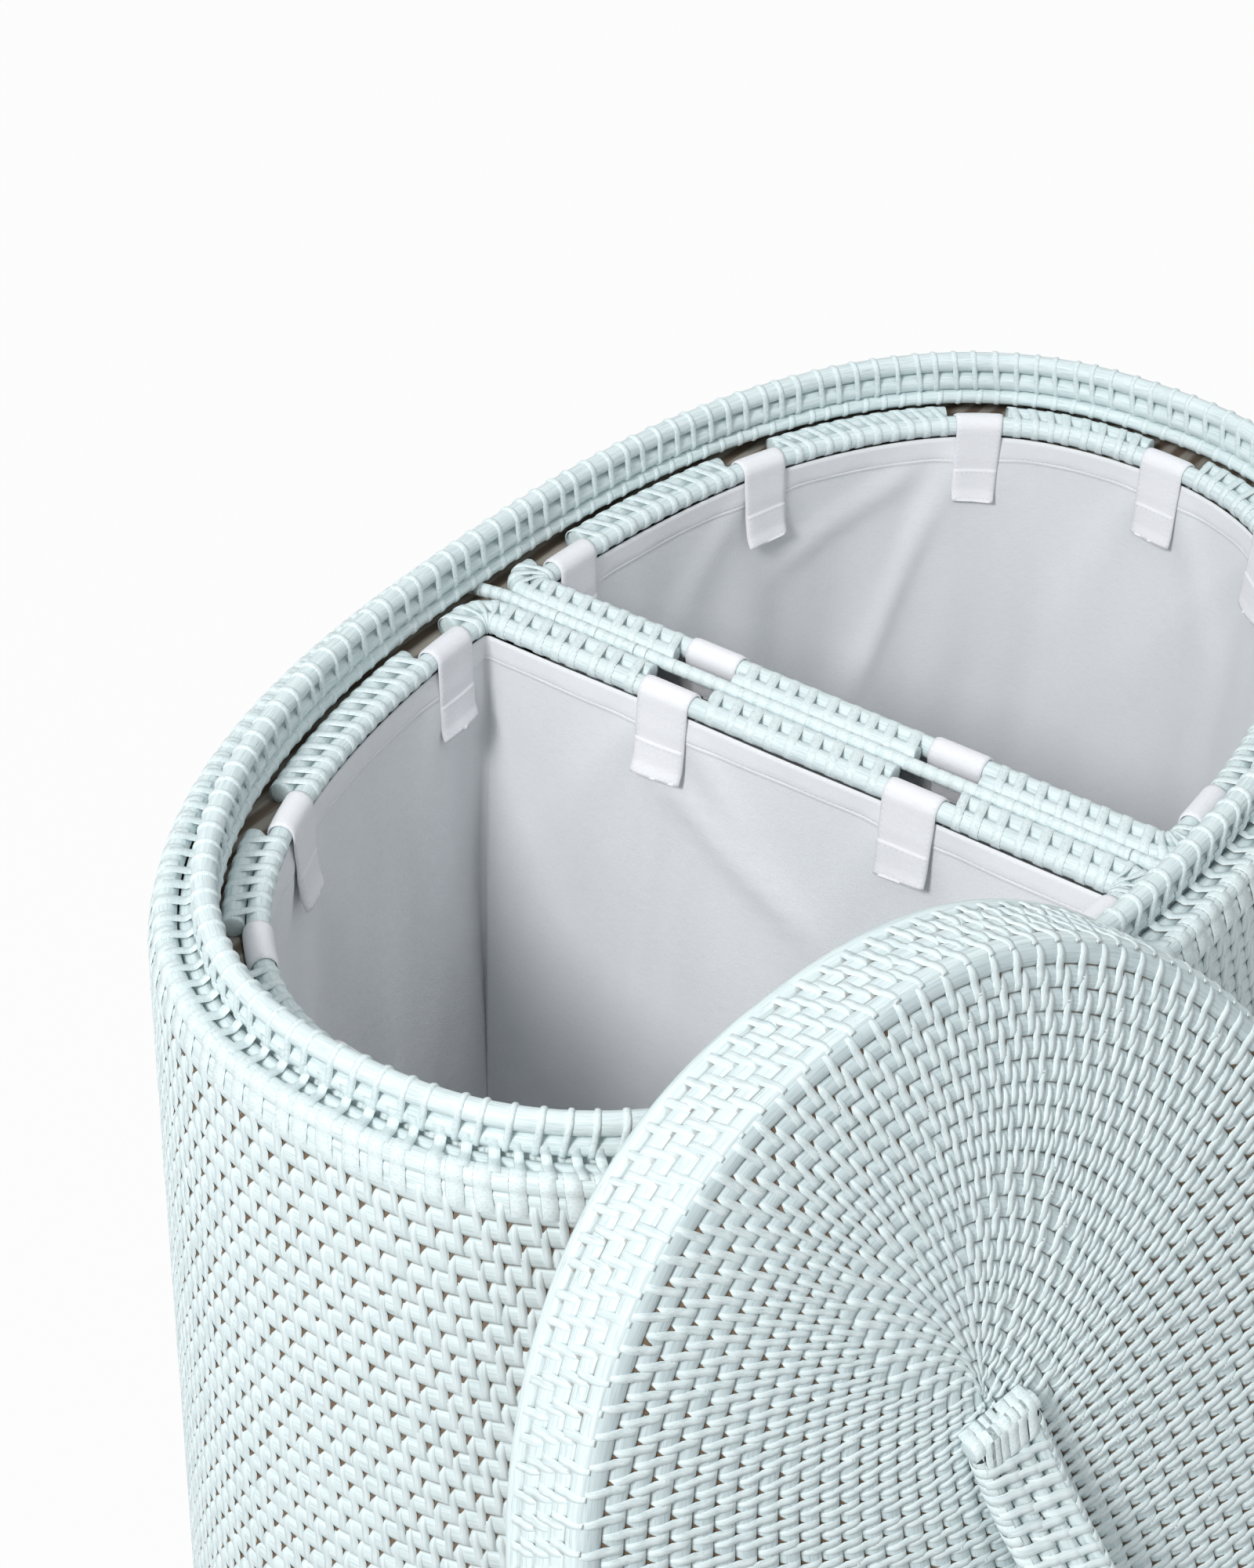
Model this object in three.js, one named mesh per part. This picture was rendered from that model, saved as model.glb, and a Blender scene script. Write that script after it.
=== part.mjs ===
// Oval coiled-rattan laundry hamper with two lift-out bins and a lift-off lid.
// Millimetres, +Z up. The origin is the middle of the underside of the base, +X runs along
// the long axis of the oval and the lid leans on the -Y side.

import * as THREE from 'three';

// Driving sizes of the hamper
const bodyLength = 694;
const bodyWidth = 428;
const rimHeight = 611;
const ovalPower = 2.31;
const ovalStations = 36;
const seatGap = 0.3;

// Rattan
const coilDiameter = 9.8;
const ledgeDiameter = 7.6;
const recessDiameter = 8.4;
const dividerDiameter = 6.8;
const rodSides = 8;

// Shoulder, neck and shelf
const shoulderInset = 7.6;
const shoulderRise = 2.5;
const ledgeStep = 1.3;
const baseThickness = 9;
const wallRibs = 11;
const wallRibDepth = 2.8;

// Bins
const binDrop = 25.5;
const liftClearance = 0.6;
const dividerClearance = 0.6;
const cornerRadius = 21.5;
const linerThickness = 1.6;
const linerDepth = 523.5;
const linerFloorRadius = 18;
const linerBottomInset = 14;
const tabWidth = 27;
const tabThickness = 1.2;
const tabOuterLeg = 24;
const tabInnerLeg = 38;
const tabGap = 0.5;
const rodGapWidth = 34;
const curvedTabShares = [0.034, 0.235, 0.36, 0.4775, 0.617, 0.79, 0.972];
const straightTabShares = [0.3, 0.7];

// Lid
const lidPanelThickness = 8;
const lidCrown = 7;
const lidCoilPitch = 10.3;
const lidRidge = 2.2;
const lidEdgeInset = 2.5;
const skirtCoils = 3;
const skirtPitch = 9.4;
const coreLength = 334;
const handleRods = 4;
const handleRodDiameter = 8.4;
const handleRise = 30;
const handleBarDiameter = 10;
const handleBarInset = 12;
const handleSteps = 10;

// How the lid stands
const lidLean = THREE.MathUtils.degToRad(12.9);
const lidRoll = THREE.MathUtils.degToRad(13.9);
const lidYaw = THREE.MathUtils.degToRad(-18);
const lidSideways = -113;

// Sizes that follow
const coilRadius = coilDiameter / 2;
const ledgeRadius = ledgeDiameter / 2;
const recessRadius = recessDiameter / 2;
const recessInset = shoulderInset + coilRadius + seatGap + recessRadius;
const ledgeInset = recessInset + recessRadius + seatGap + ledgeRadius;
const neckInset = ledgeInset - ledgeStep;
const neckTopHeight = rimHeight - coilRadius;
const neckLowerHeight = neckTopHeight - coilDiameter - seatGap;
const ledgeHeight = neckLowerHeight - coilRadius - ledgeRadius - seatGap;
const recessHeight = ledgeHeight;
const shoulderHeight = recessHeight + shoulderRise;
const wallTop = shoulderHeight - coilRadius - seatGap;
const wallThickness = coilDiameter;
const frameHeight = neckTopHeight - binDrop;
const frameInset = ledgeInset + ledgeRadius + liftClearance;
const dividerRadius = dividerDiameter / 2;
const straightSide = dividerRadius + dividerClearance;
const outerRodInset = coilRadius;
const innerRodInset = outerRodInset + coilDiameter + seatGap;
const shelfTop = frameHeight - coilRadius - seatGap;
const dividerHeight = shelfTop + seatGap + dividerRadius;
const footHeight = coilDiameter;

const paintedRattan = { color: 0xdce9ea, roughness: 0.55, metalness: 0 };
const naturalRattan = { color: 0xa98a68, roughness: 0.7, metalness: 0 };
const whiteCotton = { color: 0xe9e8ec, roughness: 0.9, metalness: 0 };

const group = new THREE.Group();

function addMesh(parent, name, geometry, look) {
  const mesh = new THREE.Mesh(geometry, new THREE.MeshStandardMaterial(look));
  mesh.name = name;
  parent.add(mesh);
  return mesh;
}

// Oval plans

const halfTurn = Math.PI;
const fullTurn = 2 * Math.PI;

function superOval(angle, halfLength, halfWidth) {
  const c = Math.cos(angle);
  const s = Math.sin(angle);
  const x = halfLength * Math.sign(c) * Math.abs(c) ** (2 / ovalPower);
  const y = halfWidth * Math.sign(s) * Math.abs(s) ** (2 / ovalPower);
  return new THREE.Vector2(x, y);
}

// Outward direction of the oval's side at an angle of its curve
function ovalNormal(angle, halfLength, halfWidth) {
  const p = superOval(angle, halfLength, halfWidth);
  const nx = Math.sign(p.x) * Math.abs(p.x / halfLength) ** (ovalPower - 1) / halfLength;
  const ny = Math.sign(p.y) * Math.abs(p.y / halfWidth) ** (ovalPower - 1) / halfWidth;
  return new THREE.Vector2(nx, ny).normalize();
}

// Angles that share out length and turning evenly over a quarter of the oval
function quarterAngles(halfLength, halfWidth, count) {
  const fineSteps = 400;
  const sums = [0];
  const lengths = [];
  const turns = [];
  for (let i = 0; i < fineSteps; i += 1) {
    const a = (i / fineSteps) * (halfTurn / 2);
    const b = ((i + 1) / fineSteps) * (halfTurn / 2);
    const step = superOval(b, halfLength, halfWidth).distanceTo(superOval(a, halfLength, halfWidth));
    const normalA = ovalNormal(a, halfLength, halfWidth);
    const normalB = ovalNormal(b, halfLength, halfWidth);
    lengths.push(step);
    turns.push(Math.acos(Math.min(1, normalA.dot(normalB))));
  }
  const total = lengths.reduce((sum, value) => sum + value, 0);
  const turning = turns.reduce((sum, value) => sum + value, 0);
  for (let i = 0; i < fineSteps; i += 1) {
    sums.push(sums[i] + lengths[i] / total + turns[i] / turning);
  }
  const angles = [];
  let at = 0;
  for (let k = 0; k < count; k += 1) {
    const target = (2 * k) / count;
    while (sums[at + 1] < target) {
      at += 1;
    }
    const part = (target - sums[at]) / (sums[at + 1] - sums[at]);
    angles.push(((at + part) / fineSteps) * (halfTurn / 2));
  }
  return angles;
}

const quarter = quarterAngles(bodyLength / 2, bodyWidth / 2, ovalStations / 4);
const stationAngles = [0, 1, 2, 3].flatMap((side) => {
  const start = (side * halfTurn) / 2;
  const mirrored = quarter.slice(1).reverse();
  return side % 2 === 0
    ? quarter.map((angle) => start + angle)
    : [start, ...mirrored.map((angle) => start + halfTurn / 2 - angle)];
});

// Point at a station of the body's oval, moved in from the outside of the wall.
// Between two whole stations the plan is straight, so all rings stay parallel.
function bodyPlan(station, inset) {
  const count = stationAngles.length;
  const low = Math.floor(station);
  const corner = (index) => {
    const angle = stationAngles[((index % count) + count) % count];
    const normal = ovalNormal(angle, bodyLength / 2, bodyWidth / 2);
    return superOval(angle, bodyLength / 2, bodyWidth / 2).addScaledVector(normal, -inset);
  };
  return corner(low).lerp(corner(low + 1), station - low);
}

const wholeStations = stationAngles.map((_, index) => index);

// Solids swept along a plan

function signedVolume(positions, indices) {
  const a = new THREE.Vector3();
  const b = new THREE.Vector3();
  const c = new THREE.Vector3();
  let sum = 0;
  for (let i = 0; i < indices.length; i += 3) {
    a.fromArray(positions, 3 * indices[i]);
    b.fromArray(positions, 3 * indices[i + 1]);
    c.fromArray(positions, 3 * indices[i + 2]);
    sum += a.dot(b.cross(c));
  }
  return sum;
}

function solidFrom(positions, indices) {
  if (signedVolume(positions, indices) < 0) {
    indices.reverse();
  }
  const geometry = new THREE.BufferGeometry();
  geometry.setAttribute('position', new THREE.Float32BufferAttribute(positions, 3));
  geometry.setIndex(indices);
  geometry.computeVertexNormals();
  return geometry;
}

// Carries an outline of [inset, height] points along the stations of a plan
function sweep(outline, planAt, stations, closed) {
  const positions = [];
  const indices = [];
  const size = outline.length;
  stations.forEach((station) => {
    outline.forEach(([inset, height]) => {
      const p = planAt(station, inset);
      positions.push(p.x, p.y, height);
    });
  });
  const spans = closed ? stations.length : stations.length - 1;
  for (let i = 0; i < spans; i += 1) {
    const here = i * size;
    const next = ((i + 1) % stations.length) * size;
    for (let k = 0; k < size; k += 1) {
      const l = (k + 1) % size;
      indices.push(here + k, next + k, next + l, here + k, next + l, here + l);
    }
  }
  if (!closed) {
    const contour = outline.map(([inset, height]) => new THREE.Vector2(inset, height));
    const reversed = THREE.ShapeUtils.isClockWise(contour);
    const faces = THREE.ShapeUtils.triangulateShape(contour, []);
    const end = (stations.length - 1) * size;
    faces.forEach(([a, b, c]) => {
      const [p, q, r] = reversed ? [a, c, b] : [a, b, c];
      indices.push(p, q, r, end + p, end + r, end + q);
    });
  }
  return solidFrom(positions, indices);
}

// Round section with flats towards its neighbours, as a rod's outline
function rodOutline(inset, height, radius, sides) {
  const outline = [];
  const cornerReach = radius / Math.cos(halfTurn / sides);
  for (let k = 0; k < sides; k += 1) {
    const angle = ((k + 0.5) / sides) * fullTurn + halfTurn / 2;
    outline.push([inset + cornerReach * Math.cos(angle), height + cornerReach * Math.sin(angle)]);
  }
  return outline;
}

function ovalRod(inset, height, radius, sides) {
  return sweep(rodOutline(inset, height, radius, sides), bodyPlan, wholeStations, true);
}

// Body of the hamper

// Wall of coils: each rib stands for a few of them, with a groove between ribs
function wall() {
  const foot = footHeight + seatGap;
  const pitch = (wallTop - foot) / wallRibs;
  const outer = [[0, foot]];
  for (let k = 0; k < wallRibs; k += 1) {
    outer.push([wallRibDepth, foot + (k + 0.5) * pitch], [0, foot + (k + 1) * pitch]);
  }
  const inner = [
    [wallThickness, wallTop],
    [wallThickness, foot],
  ];
  return sweep([...outer, ...inner], bodyPlan, wholeStations, true);
}

function footRing() {
  return sweep(
    [
      [coilRadius / 2, 0],
      [0, coilRadius / 2],
      [0, footHeight - coilRadius / 2],
      [coilRadius / 2, footHeight],
      [wallThickness, footHeight],
      [wallThickness, 0],
    ],
    bodyPlan,
    wholeStations,
    true,
  );
}

function basePanel() {
  const shape = new THREE.Shape(
    wholeStations.map((station) => bodyPlan(station, wallThickness + seatGap)),
  );
  return new THREE.ExtrudeGeometry(shape, { depth: baseThickness, bevelEnabled: false });
}

// Shelf inside the wall, which carries the bins' frames
function shelf() {
  const outer = wallThickness + seatGap;
  const inner = frameInset + outerRodInset + coilRadius;
  const bottom = shelfTop - coilDiameter;
  const ease = coilRadius / 2;
  return sweep(
    [
      [outer, bottom],
      [outer, shelfTop],
      [inner - ease, shelfTop],
      [inner, shelfTop - coilRadius],
      [inner - ease, bottom],
    ],
    bodyPlan,
    wholeStations,
    true,
  );
}

function dividerRod() {
  const side = ovalStations / 4;
  const seat = bodyPlan(side, wallThickness + seatGap);
  const beside = bodyPlan(side - 1, wallThickness + seatGap);
  const reach = seat.y - (dividerRadius * (seat.y - beside.y)) / (beside.x - seat.x);
  const section = new THREE.Shape(
    rodOutline(0, 0, dividerRadius, rodSides).map(([x, y]) => new THREE.Vector2(x, y)),
  );
  const geometry = new THREE.ExtrudeGeometry(section, { depth: 2 * reach, bevelEnabled: false });
  geometry.rotateX(halfTurn / 2);
  geometry.translate(0, reach, dividerHeight);
  return geometry;
}

addMesh(group, 'foot_ring', footRing(), paintedRattan);
addMesh(group, 'base_panel', basePanel(), naturalRattan);
addMesh(group, 'wall', wall(), paintedRattan);
addMesh(
  group,
  'shoulder_rod',
  ovalRod(shoulderInset, shoulderHeight, coilRadius, rodSides),
  paintedRattan,
);
addMesh(
  group,
  'recess_rod',
  ovalRod(recessInset, recessHeight, recessRadius, rodSides),
  paintedRattan,
);
addMesh(
  group,
  'neck_lower_rod',
  ovalRod(neckInset, neckLowerHeight, coilRadius, rodSides),
  paintedRattan,
);
addMesh(
  group,
  'neck_top_rod',
  ovalRod(neckInset, neckTopHeight, coilRadius, rodSides),
  paintedRattan,
);
addMesh(
  group,
  'ledge_rod',
  ovalRod(ledgeInset, ledgeHeight, ledgeRadius, rodSides),
  paintedRattan,
);
addMesh(group, 'bin_shelf', shelf(), naturalRattan);
addMesh(group, 'divider_rod', dividerRod(), paintedRattan);

// Plan of a D-shaped bin: the body's oval on one side, a straight side along the divider,
// and round corners between them. Insets run in from the outside of the bin's frame.

function cornerStation() {
  const halvings = 60;
  let low = 0;
  let high = ovalStations / 4;
  const target = straightSide + cornerRadius;
  for (let i = 0; i < halvings; i += 1) {
    const middle = (low + high) / 2;
    if (bodyPlan(middle, frameInset + cornerRadius).x > target) {
      low = middle;
    } else {
      high = middle;
    }
  }
  return (low + high) / 2;
}

const binCorner = cornerStation();
const cornerCentre = bodyPlan(binCorner, frameInset + cornerRadius);
const cornerSteps = 3;

// Stations of the D: whole numbers of the oval from -binCorner to binCorner, then
// corner steps, the straight side, and corner steps back.
function binPlan(station, inset) {
  if (station.kind === 'curve') {
    return bodyPlan(station.at, frameInset + inset);
  }
  if (station.kind === 'corner') {
    const side = station.side;
    const edge = bodyPlan(binCorner, frameInset + inset);
    const start = Math.atan2(edge.y - cornerCentre.y, edge.x - cornerCentre.x);
    const angle = THREE.MathUtils.lerp(start, halfTurn, station.at);
    const radius = cornerRadius - inset;
    const x = cornerCentre.x + radius * Math.cos(angle);
    const y = side * (cornerCentre.y + radius * Math.sin(angle));
    return new THREE.Vector2(x, y);
  }
  return new THREE.Vector2(straightSide + inset, cornerCentre.y * (1 - 2 * station.at));
}

// Length along the curved side of the D, measured on the inner rod
function curveLengths() {
  const marks = [-binCorner];
  for (let k = Math.ceil(-binCorner); k < binCorner; k += 1) {
    marks.push(k);
  }
  marks.push(binCorner);
  const sums = [0];
  for (let i = 1; i < marks.length; i += 1) {
    const a = bodyPlan(marks[i - 1], frameInset + innerRodInset);
    const b = bodyPlan(marks[i], frameInset + innerRodInset);
    sums.push(sums[i - 1] + a.distanceTo(b));
  }
  return { marks, sums };
}

const curve = curveLengths();
const curveLength = curve.sums[curve.sums.length - 1];
const straightLength = 2 * cornerCentre.y;

function curveStation(distance) {
  let i = 1;
  while (i < curve.sums.length - 1 && curve.sums[i] < distance) {
    i += 1;
  }
  const part = (distance - curve.sums[i - 1]) / (curve.sums[i] - curve.sums[i - 1]);
  return THREE.MathUtils.lerp(curve.marks[i - 1], curve.marks[i], part);
}

function curveRun(from, to) {
  const leastShare = 0.02;
  const run = [from];
  for (let k = Math.floor(from) + 1; k < to; k += 1) {
    if (k - from > leastShare && to - k > leastShare) {
      run.push(k);
    }
  }
  run.push(to);
  return run.map((at) => ({ kind: 'curve', at }));
}

function cornerRun(side) {
  const run = [];
  for (let k = 1; k < cornerSteps; k += 1) {
    const share = k / cornerSteps;
    run.push({ kind: 'corner', side, at: side > 0 ? share : 1 - share });
  }
  return run;
}

const closedBin = [
  ...curveRun(-binCorner, binCorner),
  ...cornerRun(1),
  { kind: 'straight', at: 0 },
  { kind: 'straight', at: 1 },
  ...cornerRun(-1),
];

// Where the tabs hang: spans of stations on the curved and the straight side
function tabSpan(width, place) {
  if (place.side === 'curve') {
    const middle = place.share * curveLength;
    return curveRun(curveStation(middle - width / 2), curveStation(middle + width / 2));
  }
  const half = width / 2 / straightLength;
  return [
    { kind: 'straight', at: place.share - half },
    { kind: 'straight', at: place.share + half },
  ];
}

const tabPlaces = [
  ...curvedTabShares.map((share) => ({ side: 'curve', share })),
  ...straightTabShares.map((share) => ({ side: 'straight', share })),
];

// Runs of the outer rod between one tab's gap and the next, all the way round the D
function outerRuns() {
  const gaps = tabPlaces.map((place) => tabSpan(rodGapWidth, place));
  const first = (span) => span[0];
  const last = (span) => span[span.length - 1];
  return gaps.map((gap, index) => {
    const next = gaps[(index + 1) % gaps.length];
    const from = last(gap);
    const to = first(next);
    if (from.kind === 'curve' && to.kind === 'curve') {
      return curveRun(from.at, to.at);
    }
    if (from.kind === 'straight' && to.kind === 'straight') {
      return [from, to];
    }
    if (from.kind === 'curve') {
      return [...curveRun(from.at, binCorner), ...cornerRun(1), { kind: 'straight', at: 0 }, to];
    }
    return [from, { kind: 'straight', at: 1 }, ...cornerRun(-1), ...curveRun(-binCorner, to.at)];
  });
}

// Liner: a bag with its mouth under the inner rod and a flat bottom drawn in a little
function liner() {
  const top = frameHeight - coilRadius - seatGap;
  const bottom = frameHeight - linerDepth;
  const mouth = innerRodInset + coilRadius / 2;
  const foot = mouth + linerBottomInset;
  const t = linerThickness;
  const stations = closedBin;
  const rings = [
    [mouth, top],
    [foot, bottom + linerFloorRadius],
    [foot + linerFloorRadius, bottom],
    [foot + linerFloorRadius, bottom + t],
    [foot + t, bottom + linerFloorRadius],
    [mouth + t, top],
  ];
  const positions = [];
  const indices = [];
  const size = rings.length;
  const count = stations.length;
  stations.forEach((station) => {
    rings.forEach(([inset, height]) => {
      const p = linerPlan(station, inset);
      positions.push(p.x, p.y, height);
    });
  });
  for (let i = 0; i < count; i += 1) {
    const here = i * size;
    const next = ((i + 1) % count) * size;
    for (let k = 0; k < size; k += 1) {
      const l = (k + 1) % size;
      if (k !== 2) {
        indices.push(here + k, next + k, next + l, here + k, next + l, here + l);
      }
    }
  }
  const outline = stations.map((station) => linerPlan(station, foot + linerFloorRadius));
  const reversed = THREE.ShapeUtils.isClockWise(outline);
  THREE.ShapeUtils.triangulateShape(outline, []).forEach(([a, b, c]) => {
    const [p, q, r] = reversed ? [a, b, c] : [a, c, b];
    indices.push(p * size + 2, r * size + 2, q * size + 2);
    indices.push(p * size + 3, q * size + 3, r * size + 3);
  });
  return solidFrom(positions, indices);
}

// Deep insets pass the corner's centre, so there the corner keeps its own centre line
function linerPlan(station, inset) {
  const shallow = Math.min(inset, cornerRadius);
  const p = binPlan(station, shallow);
  const rest = inset - shallow;
  if (rest > 0) {
    const middle = new THREE.Vector2(binMiddle, 0);
    const reach = p.distanceTo(middle);
    p.lerp(middle, rest / reach);
  }
  return p;
}

const binMiddle = (straightSide + bodyLength / 2 - frameInset) / 2;

// Tab: a strap that rises outside the inner rod, passes over it and hangs inside the bag
function tabOutline() {
  const mouth = innerRodInset + coilRadius / 2;
  const slope = linerBottomInset / (linerDepth - linerFloorRadius);
  const outerFoot = mouth - seatGap;
  const innerFoot = mouth + linerThickness + seatGap + slope * tabInnerLeg;
  const face = (reach, spread) => {
    const points = [
      [outerFoot - spread, frameHeight - tabOuterLeg],
      [outerFoot - spread, frameHeight - coilDiameter - spread],
    ];
    for (let k = 0; k <= rodSides - 2; k += 1) {
      const angle = ((rodSides - 2.5 - k) / rodSides) * fullTurn;
      const cornerReach = reach / Math.cos(halfTurn / rodSides);
      const inset = innerRodInset + cornerReach * Math.cos(angle);
      points.push([inset, frameHeight + cornerReach * Math.sin(angle)]);
    }
    points.push([innerFoot + spread, frameHeight - tabInnerLeg]);
    return points;
  };
  const near = coilRadius + tabGap;
  return [...face(near, 0), ...face(near + tabThickness, tabThickness).reverse()];
}

function addBin(name, side) {
  const bin = new THREE.Group();
  if (side < 0) {
    bin.rotation.z = halfTurn;
  }
  const innerRod = rodOutline(innerRodInset, frameHeight, coilRadius, rodSides);
  const outerRod = rodOutline(outerRodInset, frameHeight, coilRadius, rodSides);
  addMesh(bin, `${name}_inner_rod`, sweep(innerRod, binPlan, closedBin, true), paintedRattan);
  outerRuns().forEach((run, index) => {
    addMesh(bin, `${name}_outer_rod_${index + 1}`, sweep(outerRod, binPlan, run, false), paintedRattan);
  });
  addMesh(bin, `${name}_liner`, liner(), whiteCotton);
  tabPlaces.forEach((place, index) => {
    const span = tabSpan(tabWidth, place);
    addMesh(bin, `${name}_tab_${index + 1}`, sweep(tabOutline(), binPlan, span, false), whiteCotton);
  });
  group.add(bin);
}

addBin('bin_rear', 1);
addBin('bin_front', -1);

// Lid, modelled flat with its outer face up and its long axis along X

const panelEdge = lidEdgeInset;
const panelRows = Math.round((bodyWidth / 2 - panelEdge) / lidCoilPitch);
const skirtTop = -lidPanelThickness - seatGap;
const skirtBottom = skirtTop - skirtCoils * skirtPitch;
const edgeRodHeight = skirtBottom - seatGap - coilRadius;

// Coils of the panel nest round a straight core: a share of 1 is the edge, 0 the core
function panelPlan(station, share) {
  const edge = bodyPlan(station, panelEdge);
  const halfLength = bodyLength / 2 - panelEdge;
  const reach = THREE.MathUtils.lerp(coreLength / 2, halfLength, share);
  return new THREE.Vector2((edge.x * reach) / halfLength, edge.y * share);
}

function panelHeight(share) {
  return lidCrown * (1 - share * share);
}

function lidPanel() {
  const underRings = 2;
  const rings = [];
  for (let row = panelRows; row > 0; row -= 1) {
    const groove = row / panelRows;
    const crest = (row - 0.5) / panelRows;
    rings.push([groove, panelHeight(groove) - lidRidge], [crest, panelHeight(crest)]);
  }
  const topCount = rings.length;
  for (let k = 1; k <= underRings; k += 1) {
    const share = k / underRings;
    rings.push([share, panelHeight(share) - lidPanelThickness]);
  }
  const count = ovalStations;
  const positions = [];
  const indices = [];
  rings.forEach(([share, height]) => {
    wholeStations.forEach((station) => {
      const p = panelPlan(station, share);
      positions.push(p.x, p.y, height);
    });
  });
  const band = (from, to) => {
    for (let i = 0; i < count; i += 1) {
      const j = (i + 1) % count;
      indices.push(from * count + i, from * count + j, to * count + j);
      indices.push(from * count + i, to * count + j, to * count + i);
    }
  };
  for (let r = 0; r + 1 < topCount; r += 1) {
    band(r, r + 1);
  }
  for (let r = topCount; r + 1 < rings.length; r += 1) {
    band(r, r + 1);
  }
  band(rings.length - 1, 0);
  const contour = wholeStations.map((station) => panelPlan(station, 1));
  const top = (topCount - 1) * count;
  const under = topCount * count;
  THREE.ShapeUtils.triangulateShape(contour, []).forEach(([a, b, c]) => {
    indices.push(top + a, top + b, top + c, under + a, under + c, under + b);
  });
  return solidFrom(positions, indices);
}

function lidSkirt() {
  const outer = [];
  const groove = coilRadius / 3;
  for (let k = 0; k < skirtCoils; k += 1) {
    const top = skirtTop - k * skirtPitch;
    outer.push([groove, top], [0, top - skirtPitch / 2]);
  }
  outer.push([groove, skirtBottom]);
  const inner = [
    [coilDiameter, skirtBottom],
    [coilDiameter, skirtTop],
  ];
  return sweep([...outer, ...inner], bodyPlan, wholeStations, true);
}

class HandleArch extends THREE.Curve {
  constructor(across, height, halfSpan) {
    super();
    this.across = across;
    this.height = height;
    this.halfSpan = halfSpan;
  }

  getPoint(share, target = new THREE.Vector3()) {
    const x = this.halfSpan * (2 * share - 1);
    const rise = handleRise * Math.sin(halfTurn * share) ** 2;
    return target.set(x, this.across, this.height + rise);
  }
}

function handleRod(index) {
  const barRadius = handleBarDiameter / 2;
  const halfSpan = coreLength / 2 - handleBarInset - barRadius - seatGap;
  const across = (index - (handleRods - 1) / 2) * (handleRodDiameter + seatGap);
  const path = new HandleArch(across, lidCrown + seatGap + barRadius, halfSpan);
  const section = new THREE.Shape(
    rodOutline(0, 0, handleRodDiameter / 2, rodSides).map(([x, y]) => new THREE.Vector2(x, y)),
  );
  return new THREE.ExtrudeGeometry(section, { steps: handleSteps, extrudePath: path });
}

function handleBar(side) {
  const radius = handleBarDiameter / 2;
  const width = handleRods * (handleRodDiameter + seatGap);
  const geometry = new THREE.CylinderGeometry(radius, radius, width, rodSides);
  geometry.rotateY(halfTurn / rodSides);
  geometry.translate(side * (coreLength / 2 - handleBarInset), 0, lidCrown + seatGap + radius);
  return geometry;
}

const lid = new THREE.Group();
const edgeRodOutline = rodOutline(coilRadius, edgeRodHeight, coilRadius, rodSides);
addMesh(lid, 'lid_panel', lidPanel(), paintedRattan);
addMesh(lid, 'lid_skirt', lidSkirt(), paintedRattan);
addMesh(lid, 'lid_edge_rod', sweep(edgeRodOutline, bodyPlan, wholeStations, true), paintedRattan);
addMesh(lid, 'handle_bar_upper', handleBar(1), paintedRattan);
addMesh(lid, 'handle_bar_lower', handleBar(-1), paintedRattan);
for (let index = 0; index < handleRods; index += 1) {
  addMesh(lid, `handle_rod_${index + 1}`, handleRod(index), paintedRattan);
}

// The lid stands on the floor on its edge and leans on the shoulder of the hamper

const lidTurn = new THREE.Matrix4()
  .makeRotationZ(lidYaw)
  .multiply(new THREE.Matrix4().makeRotationX(-lidLean))
  .multiply(new THREE.Matrix4().makeRotationZ(halfTurn / 2))
  .multiply(new THREE.Matrix4().makeRotationY(-halfTurn / 2))
  .multiply(new THREE.Matrix4().makeRotationZ(lidRoll));

function lidEdgePoints() {
  const stepShare = 0.25;
  const outline = [...edgeRodOutline, [0, skirtTop], [lidEdgeInset, 0]];
  const points = [];
  for (let station = 0; station < ovalStations; station += stepShare) {
    outline.forEach(([inset, height]) => {
      const p = bodyPlan(station, inset);
      points.push(new THREE.Vector3(p.x, p.y, height).applyMatrix4(lidTurn));
    });
  }
  return points;
}

// Inset of the hamper's outside at a height, or null above its rim
function bodyInsetAt(height) {
  if (height < wallTop) {
    return 0;
  }
  if (height < shoulderHeight + coilRadius) {
    return shoulderInset - coilRadius;
  }
  return height < rimHeight ? neckInset - coilRadius : null;
}

// Furthest distance along a direction at which a ray from a point leaves the oval
function crossing(from, direction, inset) {
  let furthest = -Infinity;
  wholeStations.forEach((station) => {
    const a = bodyPlan(station, inset);
    const edge = bodyPlan(station + 1, inset).sub(a);
    const across = direction.x * edge.y - direction.y * edge.x;
    const toStart = a.sub(from);
    const along = (toStart.x * edge.y - toStart.y * edge.x) / across;
    const share = (toStart.x * direction.y - toStart.y * direction.x) / across;
    if (share >= 0 && share <= 1) {
      furthest = Math.max(furthest, along);
    }
  });
  return furthest;
}

function placeLid() {
  const points = lidEdgePoints();
  const drop = Math.min(...points.map((p) => p.z));
  const outward = new THREE.Vector2(Math.sin(lidYaw), -Math.cos(lidYaw));
  const sideways = new THREE.Vector2(Math.cos(lidYaw), Math.sin(lidYaw));
  let distance = 0;
  points.forEach((p) => {
    const inset = bodyInsetAt(p.z - drop);
    if (inset !== null) {
      const from = new THREE.Vector2(p.x, p.y).addScaledVector(sideways, lidSideways);
      distance = Math.max(distance, crossing(from, outward, inset - seatGap));
    }
  });
  const place = outward.multiplyScalar(distance).addScaledVector(sideways, lidSideways);
  lid.quaternion.setFromRotationMatrix(lidTurn);
  lid.position.set(place.x, place.y, -drop);
}

placeLid();
group.add(lid);

export default group;
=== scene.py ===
"""Looks of the oval coiled-rattan laundry hamper: weave, bands, liners, tabs, materials, light and camera."""

import math

import bpy
import numpy as np
from mathutils import Matrix, Vector


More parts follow.
